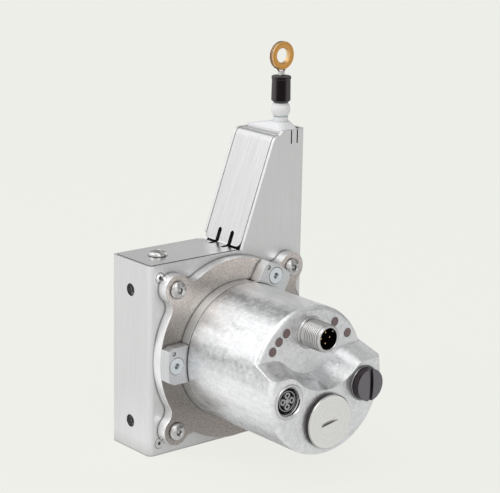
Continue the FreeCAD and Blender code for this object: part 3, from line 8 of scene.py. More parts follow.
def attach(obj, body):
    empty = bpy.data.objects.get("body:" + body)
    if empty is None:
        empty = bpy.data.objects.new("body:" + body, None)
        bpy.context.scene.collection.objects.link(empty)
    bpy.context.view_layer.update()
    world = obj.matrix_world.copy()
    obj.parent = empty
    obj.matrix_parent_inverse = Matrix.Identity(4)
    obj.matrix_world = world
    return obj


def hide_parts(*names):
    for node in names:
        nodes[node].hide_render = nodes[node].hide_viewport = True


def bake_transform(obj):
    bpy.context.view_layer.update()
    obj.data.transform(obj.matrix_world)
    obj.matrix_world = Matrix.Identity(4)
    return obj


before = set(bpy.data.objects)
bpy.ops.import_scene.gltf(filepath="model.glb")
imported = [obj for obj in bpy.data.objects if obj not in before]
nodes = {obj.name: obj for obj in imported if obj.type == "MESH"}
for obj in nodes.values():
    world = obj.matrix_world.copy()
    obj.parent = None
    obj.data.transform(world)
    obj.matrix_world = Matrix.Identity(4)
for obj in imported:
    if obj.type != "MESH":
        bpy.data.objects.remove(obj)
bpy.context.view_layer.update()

# Looks of the draw wire encoder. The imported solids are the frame. Places and
# sizes below repeat part.py's, in millimetres, and the scene is in metres.

MM = 0.001

# Camera, from the photograph's edges
CAMERA_PLACE = (-473.50, -600.06, 282.56)
CAMERA_AZIMUTH = -39.598
CAMERA_ELEVATION = 14.622
CAMERA_ROLL = 1.060
CAMERA_LENS = 132.15
SENSOR = 36.0

# Places on the encoder
AXIS_Z = 42.0
FLANGE_Y = -18.8
CAVITY_Y = -63.8
BOARD_Y = -62.6
UPPER_Y = -67.1
LOWER_Y = -78.5
EAR_OFFSET = 31.0

# Plug connector
PLUG_Z = 61.1
PLUG_END = -78.5
PLUG_BORE_R = 4.5
PLUG_SEAT_R = 6.6
PLUG_COLLAR_R = 6.8
PLUG_COLLAR_T = 0.6
PLUG_RECESS = 7.5
THREAD_R = 6.0
THREAD_PITCH = 1.0
THREAD_RUNOUT = 0.8
PIN_R = 0.5
PIN_CIRCLE = 2.35
PIN_SUNK = 2.0
KEY_TURN = 53.0
KEY_SIZE = (0.9, 6.2, 0.8)

# Sockets and cap
PORT_X = 20.2
PORT_Z = 38.6
PORT_R = 7.2
PORT_THREAD_R = 5.9
PORT_L = 12.0
PORT_PROUD = 0.3
PORT_FLOOR = 2.0
PORT_RIDGE = 0.42
SOCKET_R = 4.3
SOCKET_RIM = 0.35
SOCKET_RECESS = 1.2
SOCKET_HOLE_R = 0.6
COLLAR_R = 1.4
COLLAR_CORE_R = 1.05
COLLAR_DEPTH = 1.6
CAP_Z = 26.6

# Wire and its end
WIRE_X = 35.0
WIRE_Y = -4.4
WIRE_D = 0.8
WIRE_SIDES = 12
LEAD_STEPS = 160
WINDING_W = 8.8
LEAD_FOOT = 48.49
BALL_Z = 137.0
THIMBLE_Z = 163.3

# Screws: shank radius, head radius, head height, hexagon across flats
EAR_SCREW = (2.0, 3.8, 2.2, 2.5)
EAR_SCREW_L = 11.0
TOP_SCREW = (2.0, 4.0, 2.2, 2.5)
TOP_SCREW_L = 7.5
TOP_SCREW_X = -27.5
STRIP_Z = 83.25
SIDE_HOLE_X = -39.7
SIDE_HOLE_Z = (12.5, 70.5)
SIDE_THREAD_R = 2.5
SIDE_THREAD_L = 7.0
SIDE_PITCH = 0.8
SIDE_RIDGE = 0.34

PALE = (0.863, 0.871, 0.823, 1.0)       # the photograph's background
AXIS = (0, 0, AXIS_Z * MM)


# ---------------------------------------------------------------- shader tools

def node(tree, kind, inputs=None, **settings):
    """New node with its settings, and its sockets set or linked."""
    made = tree.nodes.new(kind)
    for name, value in settings.items():
        setattr(made, name, value)
    for name, value in (inputs or {}).items():
        if isinstance(value, bpy.types.NodeSocket):
            tree.links.new(value, made.inputs[name])
        else:
            made.inputs[name].default_value = value
    return made


def sums(tree, operation, a, b=None):
    """Math node's result."""
    return node(tree, "ShaderNodeMath", {0: a} if b is None else {0: a, 1: b}, operation=operation).outputs[0]


def plus(tree, a, b):
    return sums(tree, "ADD", a, b)


def minus(tree, a, b):
    return sums(tree, "SUBTRACT", a, b)


def times(tree, a, b):
    return sums(tree, "MULTIPLY", a, b)


def vectors(tree, operation, a, b=None):
    """Vector math node's result, a number where the operation gives one."""
    made = node(tree, "ShaderNodeVectorMath", {0: a} if b is None else {0: a, 1: b}, operation=operation)
    return made.outputs["Value" if operation in ("LENGTH", "DISTANCE", "DOT_PRODUCT") else "Vector"]


def parts_of(tree, vector):
    return node(tree, "ShaderNodeSeparateXYZ", {0: vector}).outputs


def spread(tree, value, low, high, to_low=0.0, to_high=1.0):
    """Value carried from one span to another, and held inside it."""
    return node(tree, "ShaderNodeMapRange", {0: value, 1: low, 2: high, 3: to_low, 4: to_high}).outputs[0]


def between(tree, factor, a, b):
    """Number between a and b."""
    return node(tree, "ShaderNodeMix", {0: factor, 2: a, 3: b}).outputs[0]


def mixed(tree, factor, a, b):
    """Colour between a and b."""
    return node(tree, "ShaderNodeMix", {0: factor, 6: a, 7: b}, data_type="RGBA").outputs[2]


def tinted(tree, tone, mask, share, colour):
    """Tone drawn towards a colour by a share of a mask."""
    return mixed(tree, times(tree, mask, share), tone, colour)


def dimmed(tree, colour, level):
    """Colour times a level."""
    return node(tree, "ShaderNodeVectorMath", {0: colour, "Scale": level}, operation="SCALE").outputs[0]


def ramp(tree, value, stops):
    """Grey level out of (place, level) stops."""
    made = node(tree, "ShaderNodeValToRGB", {0: value})
    held = made.color_ramp.elements
    while len(held) < len(stops):
        held.new(0.5)
    for element, (place, level) in zip(held, stops):
        element.position = place
        element.color = (level, level, level, 1.0)
    return made.outputs[0]


def grey(level, warm=0.0):
    """Grey of one level, a little warmer where warm is over zero."""
    return (level * (1 + warm), level, level * (1 - warm), 1.0)


def object_place(tree):
    return node(tree, "ShaderNodeTexCoord").outputs["Object"]


def surface_normal(tree):
    return node(tree, "ShaderNodeNewGeometry").outputs["Normal"]


def off_y(tree):
    """How far a face's normal lies along Y, either way."""
    return sums(tree, "ABSOLUTE", parts_of(tree, surface_normal(tree))["Y"])


def faces_y(tree):
    """1 where a face looks along Y, 0 on the walls round it."""
    return spread(tree, off_y(tree), 0.55, 0.8)


def noise(tree, place, scale, detail=2.0, rough=0.5, distortion=0.0):
    """Cloudy pattern, so many to the metre."""
    return node(tree, "ShaderNodeTexNoise", {"Vector": place, "Scale": scale, "Detail": detail, "Roughness": rough,
                                             "Distortion": distortion}).outputs[0]


def give(tree, sockets, **results):
    """Links results to the sockets of their names."""
    for label, value in results.items():
        tree.links.new(value, sockets[label.replace("_", " ")])
    return tree


def shared_effect(name, inputs, *outputs):
    """Empty shader group: its inputs with their values, and its outputs."""
    tree = bpy.data.node_groups.new(name, "ShaderNodeTree")
    for label, value in inputs.items():
        kind = "NodeSocketVector" if isinstance(value, tuple) else "NodeSocketFloat"
        tree.interface.new_socket(label, in_out="INPUT", socket_type=kind).default_value = value
    for label in outputs:
        kind = "NodeSocketVector" if label == "Normal" else "NodeSocketFloat"
        tree.interface.new_socket(label, in_out="OUTPUT", socket_type=kind)
    return tree, node(tree, "NodeGroupInput").outputs, node(tree, "NodeGroupOutput").inputs


def brushed_grain():
    """Long fine scratches. Stretch is how many fit in a metre along each axis."""
    tree, given, out = shared_effect("brushed_grain", {"Stretch": (2000, 2000, 30)}, "Shade", "Streak")
    place = vectors(tree, "MULTIPLY", object_place(tree), given["Stretch"])
    fine = noise(tree, place, 1.0, 5.0, 0.7)
    broad = noise(tree, place, 0.07)
    return give(tree, out, Shade=spread(tree, fine, 0.3, 0.7), Streak=spread(tree, broad, 0.35, 0.65))


def soft_edges():
    """Rounded-over look of an edge, and a mask of where the edges are."""
    tree, given, out = shared_effect("soft_edges", {"Radius": 0.0002}, "Normal", "Edge")
    rounded = node(tree, "ShaderNodeBevel", {"Radius": given["Radius"]}, samples=6).outputs[0]
    alike = vectors(tree, "DOT_PRODUCT", rounded, surface_normal(tree))
    return give(tree, out, Normal=rounded, Edge=spread(tree, minus(tree, 1.0, alike), 0.02, 0.25))


def crevices():
    """Mask of corners and joints, from ambient occlusion, where painted shade goes."""
    tree, given, out = shared_effect("crevices", {"Reach": 0.001}, "Crevice")
    open_sky = node(tree, "ShaderNodeAmbientOcclusion", {"Distance": given["Reach"]}, samples=8).outputs["AO"]
    return give(tree, out, Crevice=spread(tree, open_sky, 0.25, 0.85, 1.0, 0.0))


SPOTS_TO_PATCH = 22.0


def handling_marks():
    """Faint wiped patches and small spots of handling on metal."""
    tree, given, out = shared_effect("handling_marks", {"Size": 60.0}, "Patch", "Spot")
    place = object_place(tree)
    patch = noise(tree, place, given["Size"], 4.0, 0.55, 0.6)
    spot = noise(tree, place, times(tree, given["Size"], SPOTS_TO_PATCH))
    return give(tree, out, Patch=spread(tree, patch, 0.35, 0.68), Spot=spread(tree, spot, 0.58, 0.72))


SMEAR_STRETCH = (420, 70, 420)          # smears to the metre, drawn out along Y


def cast_skin():
    """Blasted die-cast skin: clouds, drawn-out smears, flecks and a fine crystalline speckle."""
    tree, given, out = shared_effect("cast_skin", {"Size": 70.0}, "Cloud", "Speckle", "Smear", "Pucker", "Fleck")
    place = object_place(tree)
    cloud = noise(tree, place, given["Size"], 5.0, 0.62, 0.8)
    speckle = noise(tree, place, 1500.0, 3.0, 0.8)
    pucker = noise(tree, place, 900.0, 3.0, 0.6)
    fleck = noise(tree, place, 460.0, 3.0, 0.7)
    smear = noise(tree, vectors(tree, "MULTIPLY", place, SMEAR_STRETCH), 1.0, 4.0, 0.6)
    return give(tree, out, Cloud=spread(tree, cloud, 0.36, 0.64), Speckle=spread(tree, speckle, 0.3, 0.7),
                Smear=spread(tree, smear, 0.35, 0.65), Pucker=spread(tree, pucker, 0.3, 0.7),
                Fleck=spread(tree, fleck, 0.3, 0.7))


# Painted reflections: skin levels in half turns from under the barrel, past its left side, over its top and down
# its right side, bands of light and shade mirrored by the metal and painted into its colour
BARREL_REFLECTION_LEVELS = ((0.0, 0.50), (0.20, 0.52), (0.24, 0.58), (0.28, 0.70), (0.322, 0.87), (0.367, 1.0),
                (0.456, 1.03), (0.5, 1.0), (0.544, 0.84), (0.589, 0.68), (0.633, 0.93), (0.678, 0.90),
                (0.722, 0.86), (0.767, 0.95), (0.811, 0.88), (0.856, 0.65), (0.895, 0.58), (0.944, 1.10),
                (1.0, 1.16), (1.15, 1.10), (1.35, 0.95), (1.6, 0.85), (1.85, 0.65), (2.0, 0.50))
BARREL_R = (0.0255, 0.028)              # the rim lies outside these
RIM_TILT = 0.55                         # of the rim's normals along Y


def from_line(tree, centre):
    """Place seen from a line along Y through a centre, and the radius round it."""
    from_axis = vectors(tree, "SUBTRACT", object_place(tree), centre)
    flat = vectors(tree, "MULTIPLY", from_axis, (1, 0, 1))
    return parts_of(tree, from_axis), vectors(tree, "LENGTH", flat)


def painted_barrel_reflections():
    """Painted reflections round the casting's barrel: its skin level with ragged bands of mirrored light and
    shade, and a mask of its rounded rim for a painted highlight.
    """
    tree, given, out = shared_effect("painted_barrel_reflections", {"Centre": AXIS, "Ragged": 0.2}, "Level", "Rim")
    parts, radius = from_line(tree, given["Centre"])
    turn = sums(tree, "ARCTAN2", times(tree, parts["X"], -1.0), times(tree, parts["Z"], -1.0))
    torn = minus(tree, noise(tree, object_place(tree), 260.0, 4.0, 0.7), 0.5)
    ragged = plus(tree, turn, times(tree, torn, given["Ragged"]))
    around = node(tree, "ShaderNodeMath", {0: ragged, 1: 2 * math.pi, 2: 0.0}, operation="WRAP").outputs[0]
    stops = [(place / 2, tone) for place, tone in BARREL_REFLECTION_LEVELS]
    tilt = sums(tree, "ABSOLUTE", minus(tree, off_y(tree), RIM_TILT))
    rim = times(tree, spread(tree, tilt, 0.2, 0.45, 1.0, 0.0), spread(tree, radius, *BARREL_R))
    return give(tree, out, Level=ramp(tree, spread(tree, around, 0.0, 2 * math.pi), stops), Rim=rim)


def turned_rings():
    """Fine tool rings round a line along Y through Centre."""
    tree, given, out = shared_effect("turned_rings", {"Centre": AXIS, "Rings": 2500.0}, "Ring", "Band")
    parts, radius = from_line(tree, given["Centre"])
    rings = times(tree, plus(tree, radius, parts["Y"]), given["Rings"])
    ring = node(tree, "ShaderNodeTexNoise", {"W": rings, "Scale": 1.0, "Detail": 3.0}, noise_dimensions="1D")
    band = node(tree, "ShaderNodeTexNoise", {"W": rings, "Scale": 0.12, "Detail": 2.0}, noise_dimensions="1D")
    return give(tree, out, Ring=spread(tree, ring.outputs[0], 0.3, 0.7),
                Band=spread(tree, band.outputs[0], 0.35, 0.65))


def moulded_skin():
    """Faint orange-peel and dust of a moulded part."""
    tree, given, out = shared_effect("moulded_skin", {"Size": 900.0}, "Peel", "Dust")
    place = object_place(tree)
    peel = noise(tree, place, given["Size"], 3.0)
    dust = noise(tree, place, times(tree, given["Size"], 0.2), 6.0, 0.7)
    return give(tree, out, Peel=peel, Dust=spread(tree, dust, 0.4, 0.75))


def strand_lay():
    """Lay of a stranded wire that runs along Z through Centre."""
    tree, given, out = shared_effect("strand_lay", {"Centre": (WIRE_X * MM, WIRE_Y * MM, 0), "Lay": 0.004,
                                                    "Strands": 6.0}, "Strand")
    parts = parts_of(tree, vectors(tree, "SUBTRACT", object_place(tree), given["Centre"]))
    angle = sums(tree, "ARCTAN2", parts["Y"], parts["X"])
    along = times(tree, sums(tree, "DIVIDE", parts["Z"], given["Lay"]), 2 * math.pi)
    phase = times(tree, plus(tree, angle, along), given["Strands"])
    return give(tree, out, Strand=sums(tree, "ABSOLUTE", sums(tree, "SINE", times(tree, phase, 0.5))))


EFFECTS = {made.name: made for made in (
    brushed_grain(), soft_edges(), crevices(), handling_marks(), cast_skin(), painted_barrel_reflections(), turned_rings(),
    moulded_skin(), strand_lay())}


def effect(tree, name, **inputs):
    """Places a shared effect in a material."""
    made = tree.nodes.new("ShaderNodeGroup")
    made.node_tree = EFFECTS[name]
    for label, value in inputs.items():
        made.inputs[label].default_value = value
    return made.outputs


def crevice(tree, reach):
    return effect(tree, "crevices", Reach=reach)["Crevice"]


MATERIALS = {}


def finish(name, **values):
    """New material: its tree and its Principled node, with plain values set."""
    made = MATERIALS[name] = bpy.data.materials.new(name)
    made.use_nodes = True
    tree = made.node_tree
    shader = tree.nodes["Principled BSDF"]
    for label, value in values.items():
        shader.inputs[label.replace("_", " ")].default_value = value
    return tree, shader


def bump(tree, shader, height, strength, distance, normal=None):
    """Height into the shader's normal, on top of the rounded edges."""
    inputs = {"Height": height, "Strength": strength, "Distance": distance}
    if normal is not None:
        inputs["Normal"] = normal
    tree.links.new(node(tree, "ShaderNodeBump", inputs).outputs[0], shader.inputs["Normal"])


# ------------------------------------------------------------------- materials

RUBBED_AND_HIGHLIT = grey(0.95)                     # metal painted bright on its edges: rubbed wear and a painted highlight
BLACK_SHADE = grey(0.003)


def brushed_sheet(name, stretch, dark, light, rough=(0.30, 0.42)):
    """Brushed aluminium sheet: its grain runs where stretch is smallest."""
    tree, shader = finish(name, Metallic=1.0)
    grain = effect(tree, "brushed_grain", Stretch=stretch)
    marks = effect(tree, "handling_marks", Size=45.0)
    edges = effect(tree, "soft_edges", Radius=0.00025)
    tone = mixed(tree, grain["Shade"], dark, light)
    tone = tinted(tree, tone, marks["Patch"], 0.16, grey(0.68))
    # Edges painted bright: rubbed wear and a painted highlight. Then painted shade in joints and gaps, and a wider
    # painted shade near other parts.
    tone = tinted(tree, tone, edges["Edge"], 0.8, RUBBED_AND_HIGHLIT)
    tone = tinted(tree, tone, crevice(tree, 0.0012), 0.95, grey(0.04))
    tone = tinted(tree, tone, crevice(tree, 0.010), 0.45, grey(0.22, 0.05))
    level = plus(tree, spread(tree, grain["Shade"], 0, 1, *rough), times(tree, grain["Streak"], 0.02))
    give(tree, shader.inputs, Base_Color=tone, Roughness=plus(tree, level, times(tree, marks["Patch"], 0.03)))
    bump(tree, shader, grain["Shade"], 0.10, 0.00001, edges["Normal"])


def machined_metal(name, dark, light, centre, rings=1800.0, rough=(0.26, 0.4), radius=0.0003, reach=0.0014,
                   wall=None, painted_crevice_tone=(0.03, 0.03, 0.03, 1)):
    """Turned or milled metal with fine tool rings. Wall is its tone beside the faces along Y."""
    tree, shader = finish(name, Metallic=1.0)
    ring = effect(tree, "turned_rings", Centre=centre, Rings=rings)
    marks = effect(tree, "handling_marks", Size=70.0)
    edges = effect(tree, "soft_edges", Radius=radius)
    tone = mixed(tree, ring["Ring"], dark, light)
    tone = tinted(tree, tone, ring["Band"], 0.25, dark)
    if wall:
        tone = mixed(tree, faces_y(tree), wall, tone)
    tone = tinted(tree, tone, marks["Spot"], 0.12, grey(0.3))
    # Edges painted bright: rubbed wear and a painted highlight. Corners and joints get painted shade, in a tone
    # set for each metal.
    tone = tinted(tree, tone, edges["Edge"], 0.8, RUBBED_AND_HIGHLIT)
    tone = tinted(tree, tone, crevice(tree, reach), 0.9, painted_crevice_tone)
    level = spread(tree, ring["Ring"], 0, 1, *rough)
    give(tree, shader.inputs, Base_Color=tone, Roughness=plus(tree, level, times(tree, marks["Patch"], 0.06)))
    bump(tree, shader, ring["Ring"], 0.12, 0.00002, edges["Normal"])


FLANGE_PAINTED_SHADE = ((0.0, 0.40), (0.25, 0.31), (0.55, 0.27), (0.72, 0.38), (0.86, 0.62), (1.0, 0.75))   # painted light and shade on the face by height, upwards
FLANGE_LIGHT = (1.42, 1.31, 1.23, 1)
FLANGE_DARK = (0.68, 0.61, 0.57, 1)
FLANGE_STAIN = (0.36, 0.32, 0.27, 1)


def milled_plate():
    """Flange plate: a dull brownish face under painted light and shade that change with height, walls painted
    bright as a painted reflection, edges with a painted highlight, and painted shade in corners.
    """
    tree, shader = finish("flange_metal", Metallic=1.0)
    ring = effect(tree, "turned_rings", Centre=AXIS, Rings=2600.0)
    skin = effect(tree, "cast_skin", Size=110.0)
    edges = effect(tree, "soft_edges", Radius=0.0005)
    # Face: painted light and shade by height.
    height = spread(tree, parts_of(tree, object_place(tree))["Z"], 0.0, 2 * AXIS_Z * MM)
    face = dimmed(tree, mixed(tree, skin["Speckle"], FLANGE_LIGHT, FLANGE_DARK), ramp(tree, height, FLANGE_PAINTED_SHADE))
    face = tinted(tree, face, skin["Cloud"], 0.2, FLANGE_STAIN)
    # Walls painted bright: a painted reflection.
    wall = mixed(tree, skin["Cloud"], grey(0.92), grey(1.0))
    tone = mixed(tree, faces_y(tree), wall, face)
    # Edges: painted highlight. Corners: painted shade.
    tone = mixed(tree, edges["Edge"], tone, grey(0.96))
    tone = tinted(tree, tone, crevice(tree, 0.0014), 0.8, grey(0.06))
    give(tree, shader.inputs, Base_Color=tone, Roughness=spread(tree, ring["Ring"], 0, 1, 0.26, 0.38))
    bump(tree, shader, plus(tree, ring["Ring"], skin["Speckle"]), 0.2, 0.00004, edges["Normal"])


FACE_HEIGHT = (0.050, 0.068)            # metres
FACE_PAINTED_SHADE = (1.0, 0.88)                 # painted shade: the front darker towards the top, at those heights
# Painted highlight on the casting's rounded rim.
RIM_HIGHLIGHT = 1.05
SMEARED = (-0.07, 0.07)                 # what smears add to the level
FLECK_DARK = 0.42                       # flecks stand out more where the skin is dark
FLECK_BRIGHT = 0.12


def die_cast():
    """Satin blasted aluminium casting, with painted reflections round its barrel, painted shade towards the top of
    its front, a painted highlight on its rim, edges painted bright as rubbed wear and a painted highlight, and
    painted shade in its corners.
    """
    tree, shader = finish("cast_aluminium", Metallic=0.92)
    skin = effect(tree, "cast_skin", Size=62.0)
    edges = effect(tree, "soft_edges", Radius=0.0009)
    tone = mixed(tree, skin["Cloud"], grey(0.91, -0.01), grey(1.0))
    tone = tinted(tree, tone, skin["Speckle"], 0.7, grey(0.70, -0.015))
    # Painted reflections round the barrel, painted shade towards the top of the front, and a painted highlight on
    # the rim.
    barrel = effect(tree, "painted_barrel_reflections")
    face = spread(tree, parts_of(tree, object_place(tree))["Z"], *FACE_HEIGHT, *FACE_PAINTED_SHADE)
    level = between(tree, faces_y(tree), barrel["Level"], face)
    level = between(tree, barrel["Rim"], level, RIM_HIGHLIGHT)
    smeared = plus(tree, level, spread(tree, skin["Smear"], 0, 1, *SMEARED))
    depth = spread(tree, level, 0.6, 1.0, FLECK_DARK, FLECK_BRIGHT)
    flecked = plus(tree, smeared, times(tree, minus(tree, skin["Fleck"], 0.5), depth))
    # Edges painted bright: rubbed wear and a painted highlight. Then painted shade in corners.
    tone = tinted(tree, dimmed(tree, tone, flecked), edges["Edge"], 0.5, RUBBED_AND_HIGHLIT)
    tone = tinted(tree, tone, crevice(tree, 0.0016), 0.7, grey(0.12))
    level = plus(tree, spread(tree, skin["Cloud"], 0, 1, 0.24, 0.36), times(tree, skin["Smear"], 0.08))
    give(tree, shader.inputs, Base_Color=tone, Roughness=level)
    height = plus(tree, times(tree, skin["Speckle"], 0.25), skin["Pucker"])
    bump(tree, shader, height, 0.42, 0.0001, edges["Normal"])


def bright_metal(name, dark, light, rough=(0.12, 0.26), radius=0.00025, size=260.0, reach=0.0008, shade=0.75):
    """Plated or ground metal: small marks, edges painted bright as rubbed wear and a painted highlight, and
    painted shade in its corners.
    """
    tree, shader = finish(name, Metallic=1.0)
    marks = effect(tree, "handling_marks", Size=size)
    edges = effect(tree, "soft_edges", Radius=radius)
    tone = mixed(tree, marks["Patch"], dark, light)
    # Edges painted bright: rubbed wear and a painted highlight. Then painted shade in corners.
    tone = tinted(tree, tone, edges["Edge"], 0.6, grey(0.94))
    tone = tinted(tree, tone, crevice(tree, reach), shade, grey(0.04))
    give(tree, shader.inputs, Base_Color=tone, Roughness=spread(tree, marks["Patch"], 0, 1, *rough))
    bump(tree, shader, marks["Spot"], 0.08, 0.00002, edges["Normal"])


def moulded(name, dark, light, rough=(0.35, 0.5), radius=0.0003, peel=0.12, wall=None, grazing_sheen=None,
            shade=0.75, **values):
    """Moulded plastic or rubber, with painted shade in its corners. Wall is its tone beside the faces along Y; the
    tone seen edge on is a painted sheen.
    """
    tree, shader = finish(name, **values)
    skin = effect(tree, "moulded_skin", Size=800.0)
    edges = effect(tree, "soft_edges", Radius=radius)
    tone = mixed(tree, skin["Dust"], dark, light)
    if wall:
        tone = mixed(tree, faces_y(tree), wall, tone)
    # Painted sheen where the surface is seen edge on.
    if grazing_sheen:
        facing = node(tree, "ShaderNodeLayerWeight", {"Blend": 0.5}).outputs["Facing"]
        tone = mixed(tree, spread(tree, facing, 0.08, 0.24), tone, grazing_sheen)
    tone = tinted(tree, tone, crevice(tree, 0.0016), shade, BLACK_SHADE)
    give(tree, shader.inputs, Base_Color=tone, Roughness=spread(tree, skin["Dust"], 0, 1, *rough))
    bump(tree, shader, skin["Peel"], peel, 0.00006, edges["Normal"])


def stranded_wire():
    """Stainless wire whose lay shows as painted shade in the lines between bright strands."""
    tree, shader = finish("wire_steel", Metallic=1.0, Roughness=0.28)
    strand = effect(tree, "strand_lay")["Strand"]
    give(tree, shader.inputs, Base_Color=mixed(tree, spread(tree, strand, 0.05, 0.6), grey(0.10), grey(0.68)))
    bump(tree, shader, strand, 0.8, 0.00012)


TRACKS = 620.0                          # to the metre of radius
TRACK_R = (0.0090, 0.0172)


def code_glass():
    """Glass disc with its fine code tracks near the rim."""
    tree, shader = finish("disc_glass", Roughness=0.06, IOR=1.5)
    parts = parts_of(tree, vectors(tree, "SUBTRACT", object_place(tree), AXIS))
    angle = sums(tree, "ARCTAN2", parts["Z"], parts["X"])
    squared = [sums(tree, "POWER", parts[name], 2.0) for name in ("X", "Z")]
    radius = sums(tree, "SQRT", plus(tree, *squared))
    track = sums(tree, "FLOOR", times(tree, radius, TRACKS))
    lines = times(tree, angle, sums(tree, "POWER", 2.0, minus(tree, track, 2.0)))
    dark = sums(tree, "GREATER_THAN", sums(tree, "SINE", lines), 0.0)
    inside = times(tree, sums(tree, "GREATER_THAN", radius, TRACK_R[0]),
                   sums(tree, "LESS_THAN", radius, TRACK_R[1]))
    mark = times(tree, dark, inside)
    give(tree, shader.inputs, Base_Color=mixed(tree, mark, (0.72, 0.80, 0.78, 1), grey(0.03)),
         Alpha=spread(tree, mark, 0, 1, 0.42, 1.0))


def board_laminate():
    """Green board with copper tracks under the lacquer."""
    tree, shader = finish("board_laminate", Roughness=0.32, Coat_Weight=0.4, Coat_Roughness=0.15)
    place = object_place(tree)
    cells = node(tree, "ShaderNodeTexVoronoi", {"Vector": place, "Scale": 420.0}, distance="CHEBYCHEV")
    upright = node(tree, "ShaderNodeMapping", {"Vector": place, "Rotation": (math.pi / 2, 0, 0)}).outputs[0]
    paths = node(tree, "ShaderNodeTexBrick", {
        "Vector": upright, "Scale": 260.0, "Mortar Size": 0.06, "Color1": grey(0.0), "Color2": grey(0.0),
        "Mortar": grey(1.0)}).outputs["Fac"]
    tone = mixed(tree, paths, (0.012, 0.085, 0.04, 1), (0.03, 0.16, 0.075, 1))
    pads = sums(tree, "LESS_THAN", cells.outputs["Distance"], 0.12)
    give(tree, shader.inputs, Base_Color=mixed(tree, pads, tone, (0.62, 0.47, 0.2, 1)), Metallic=pads)
    bump(tree, shader, paths, 0.2, 0.00003)


def pressed_felt():
    """Felt of fine tangled hairs."""
    tree, shader = finish("felt", Roughness=0.95, Sheen_Weight=0.4)
    hair = noise(tree, object_place(tree), 2600.0, 6.0, 0.8, 2.5)
    give(tree, shader.inputs, Base_Color=mixed(tree, hair, (0.34, 0.31, 0.26, 1), (0.62, 0.58, 0.5, 1)))
    bump(tree, shader, hair, 0.8, 0.0002)


def smoked_window():
    """Smoked light guide with a painted highlight on its rim."""
    tree, shader = finish("lamp_plastic", Roughness=0.42, Coat_Weight=0.25, Coat_Roughness=0.3)
    skin = effect(tree, "moulded_skin", Size=1500.0)
    edges = effect(tree, "soft_edges", Radius=0.0004)
    tone = mixed(tree, skin["Dust"], (0.145, 0.095, 0.095, 1), (0.205, 0.145, 0.145, 1))
    give(tree, shader.inputs, Base_Color=tinted(tree, tone, edges["Edge"], 0.5, (0.30, 0.20, 0.20, 1)))
    bump(tree, shader, skin["Peel"], 0.1, 0.00004, edges["Normal"])


# Scratches to the metre, across the grain and along it
ACROSS, ALONG = 4800, 45

brushed_sheet("wall_sheet", (ACROSS, ACROSS, ALONG), grey(0.70), grey(0.82))
brushed_sheet("strip_sheet", (ALONG, ACROSS, ALONG), grey(0.67), grey(0.85), (0.2, 0.25))
brushed_sheet("base_sheet", (ALONG, ACROSS, ACROSS), grey(0.70), grey(0.80))
milled_plate()
machined_metal("ring_metal", (0.74, 0.77, 0.78, 1), (0.90, 0.93, 0.94, 1), AXIS, 1300.0)
machined_metal("block_metal", grey(0.5), grey(0.62), AXIS, 900.0, reach=0.006)
machined_metal("clamp_metal", grey(0.66, -0.01), grey(0.76, -0.01), AXIS, 1400.0, (0.3, 0.42), reach=0.0025)
# The cap's dark wall is painted shade, and the beige tone in its slot and corners is painted shade too.
machined_metal("cap_nickel", (0.91, 0.91, 0.88, 1), (0.96, 0.96, 0.93, 1), (0, 0, CAP_Z * MM), 900.0,
               (0.26, 0.3), reach=0.0016, wall=(0.06, 0.04, 0.04, 1), painted_crevice_tone=(0.40, 0.36, 0.29, 1))
machined_metal("eye_copper", (0.58, 0.27, 0.06, 1), (0.85, 0.48, 0.15, 1), (WIRE_X * MM, 0, THIMBLE_Z * MM),
               1500.0, (0.24, 0.34), wall=(0.80, 0.56, 0.28, 1))
die_cast()
bright_metal("screw_steel", grey(0.50, 0.01), grey(0.66, 0.01), (0.06, 0.12), reach=0.0013, shade=0.95)
bright_metal("zinc_steel", (0.74, 0.79, 0.81, 1), (0.84, 0.89, 0.91, 1), (0.24, 0.36), reach=0.0014, shade=0.95)
# Darker copy of the metal: painted shade for threads inside holes and for the right socket shell.
bright_metal("painted_shade_metal", grey(0.26), grey(0.40), (0.2, 0.3), reach=0.0025)
bright_metal("loop_steel", (0.34, 0.24, 0.14, 1), (0.48, 0.36, 0.23, 1), (0.42, 0.5))
bright_metal("shaft_steel", grey(0.5), grey(0.62), (0.14, 0.24))
bright_metal("spring_steel", (0.14, 0.16, 0.22, 1), (0.2, 0.22, 0.28, 1), (0.25, 0.4))
bright_metal("plug_nickel", grey(0.57, 0.01), grey(0.67, 0.01), (0.26, 0.34), 0.0001, reach=0.0003)
bright_metal("port_nickel", grey(0.68), grey(0.8), (0.24, 0.32), 0.0001, reach=0.003, shade=0.9)
bright_metal("contact_gold", (0.80, 0.56, 0.22, 1), (0.9, 0.68, 0.32, 1), (0.12, 0.22))
bright_metal("pillar_brass", (0.62, 0.46, 0.18, 1), (0.74, 0.58, 0.27, 1))
stranded_wire()
moulded("white_plastic", grey(0.74, -0.01), grey(0.80, -0.01), (0.38, 0.5), 0.0005, 0.08, shade=0.3,
        Subsurface_Weight=0.15, Subsurface_Scale=0.002)
moulded("black_plastic", grey(0.002), grey(0.004), (0.3, 0.42), Specular_IOR_Level=0.15)
# Its near-black side wall is painted shade.
moulded("blank_plastic", (0.142, 0.135, 0.149, 1), (0.16, 0.153, 0.167, 1), (0.45, 0.55),
        wall=(0.022, 0.013, 0.018, 1), Specular_IOR_Level=0.35)
moulded("grey_plastic", grey(0.10), grey(0.15))
moulded("socket_plastic", (0.33, 0.325, 0.345, 1), (0.42, 0.415, 0.43, 1))
moulded("switch_plastic", (0.02, 0.05, 0.15, 1), (0.04, 0.08, 0.2, 1))
moulded("ceramic", (0.82, 0.78, 0.68, 1), (0.88, 0.85, 0.77, 1), (0.1, 0.2), peel=0.03)
# Its lighter edge-on tone is a painted sheen.
moulded("rubber", (0.004, 0.001, 0.002, 1), (0.010, 0.005, 0.007, 1), (0.4, 0.55), 0.0004,
        grazing_sheen=(0.075, 0.065, 0.07, 1), Specular_IOR_Level=0.1)
smoked_window()
board_laminate()
code_glass()
pressed_felt()

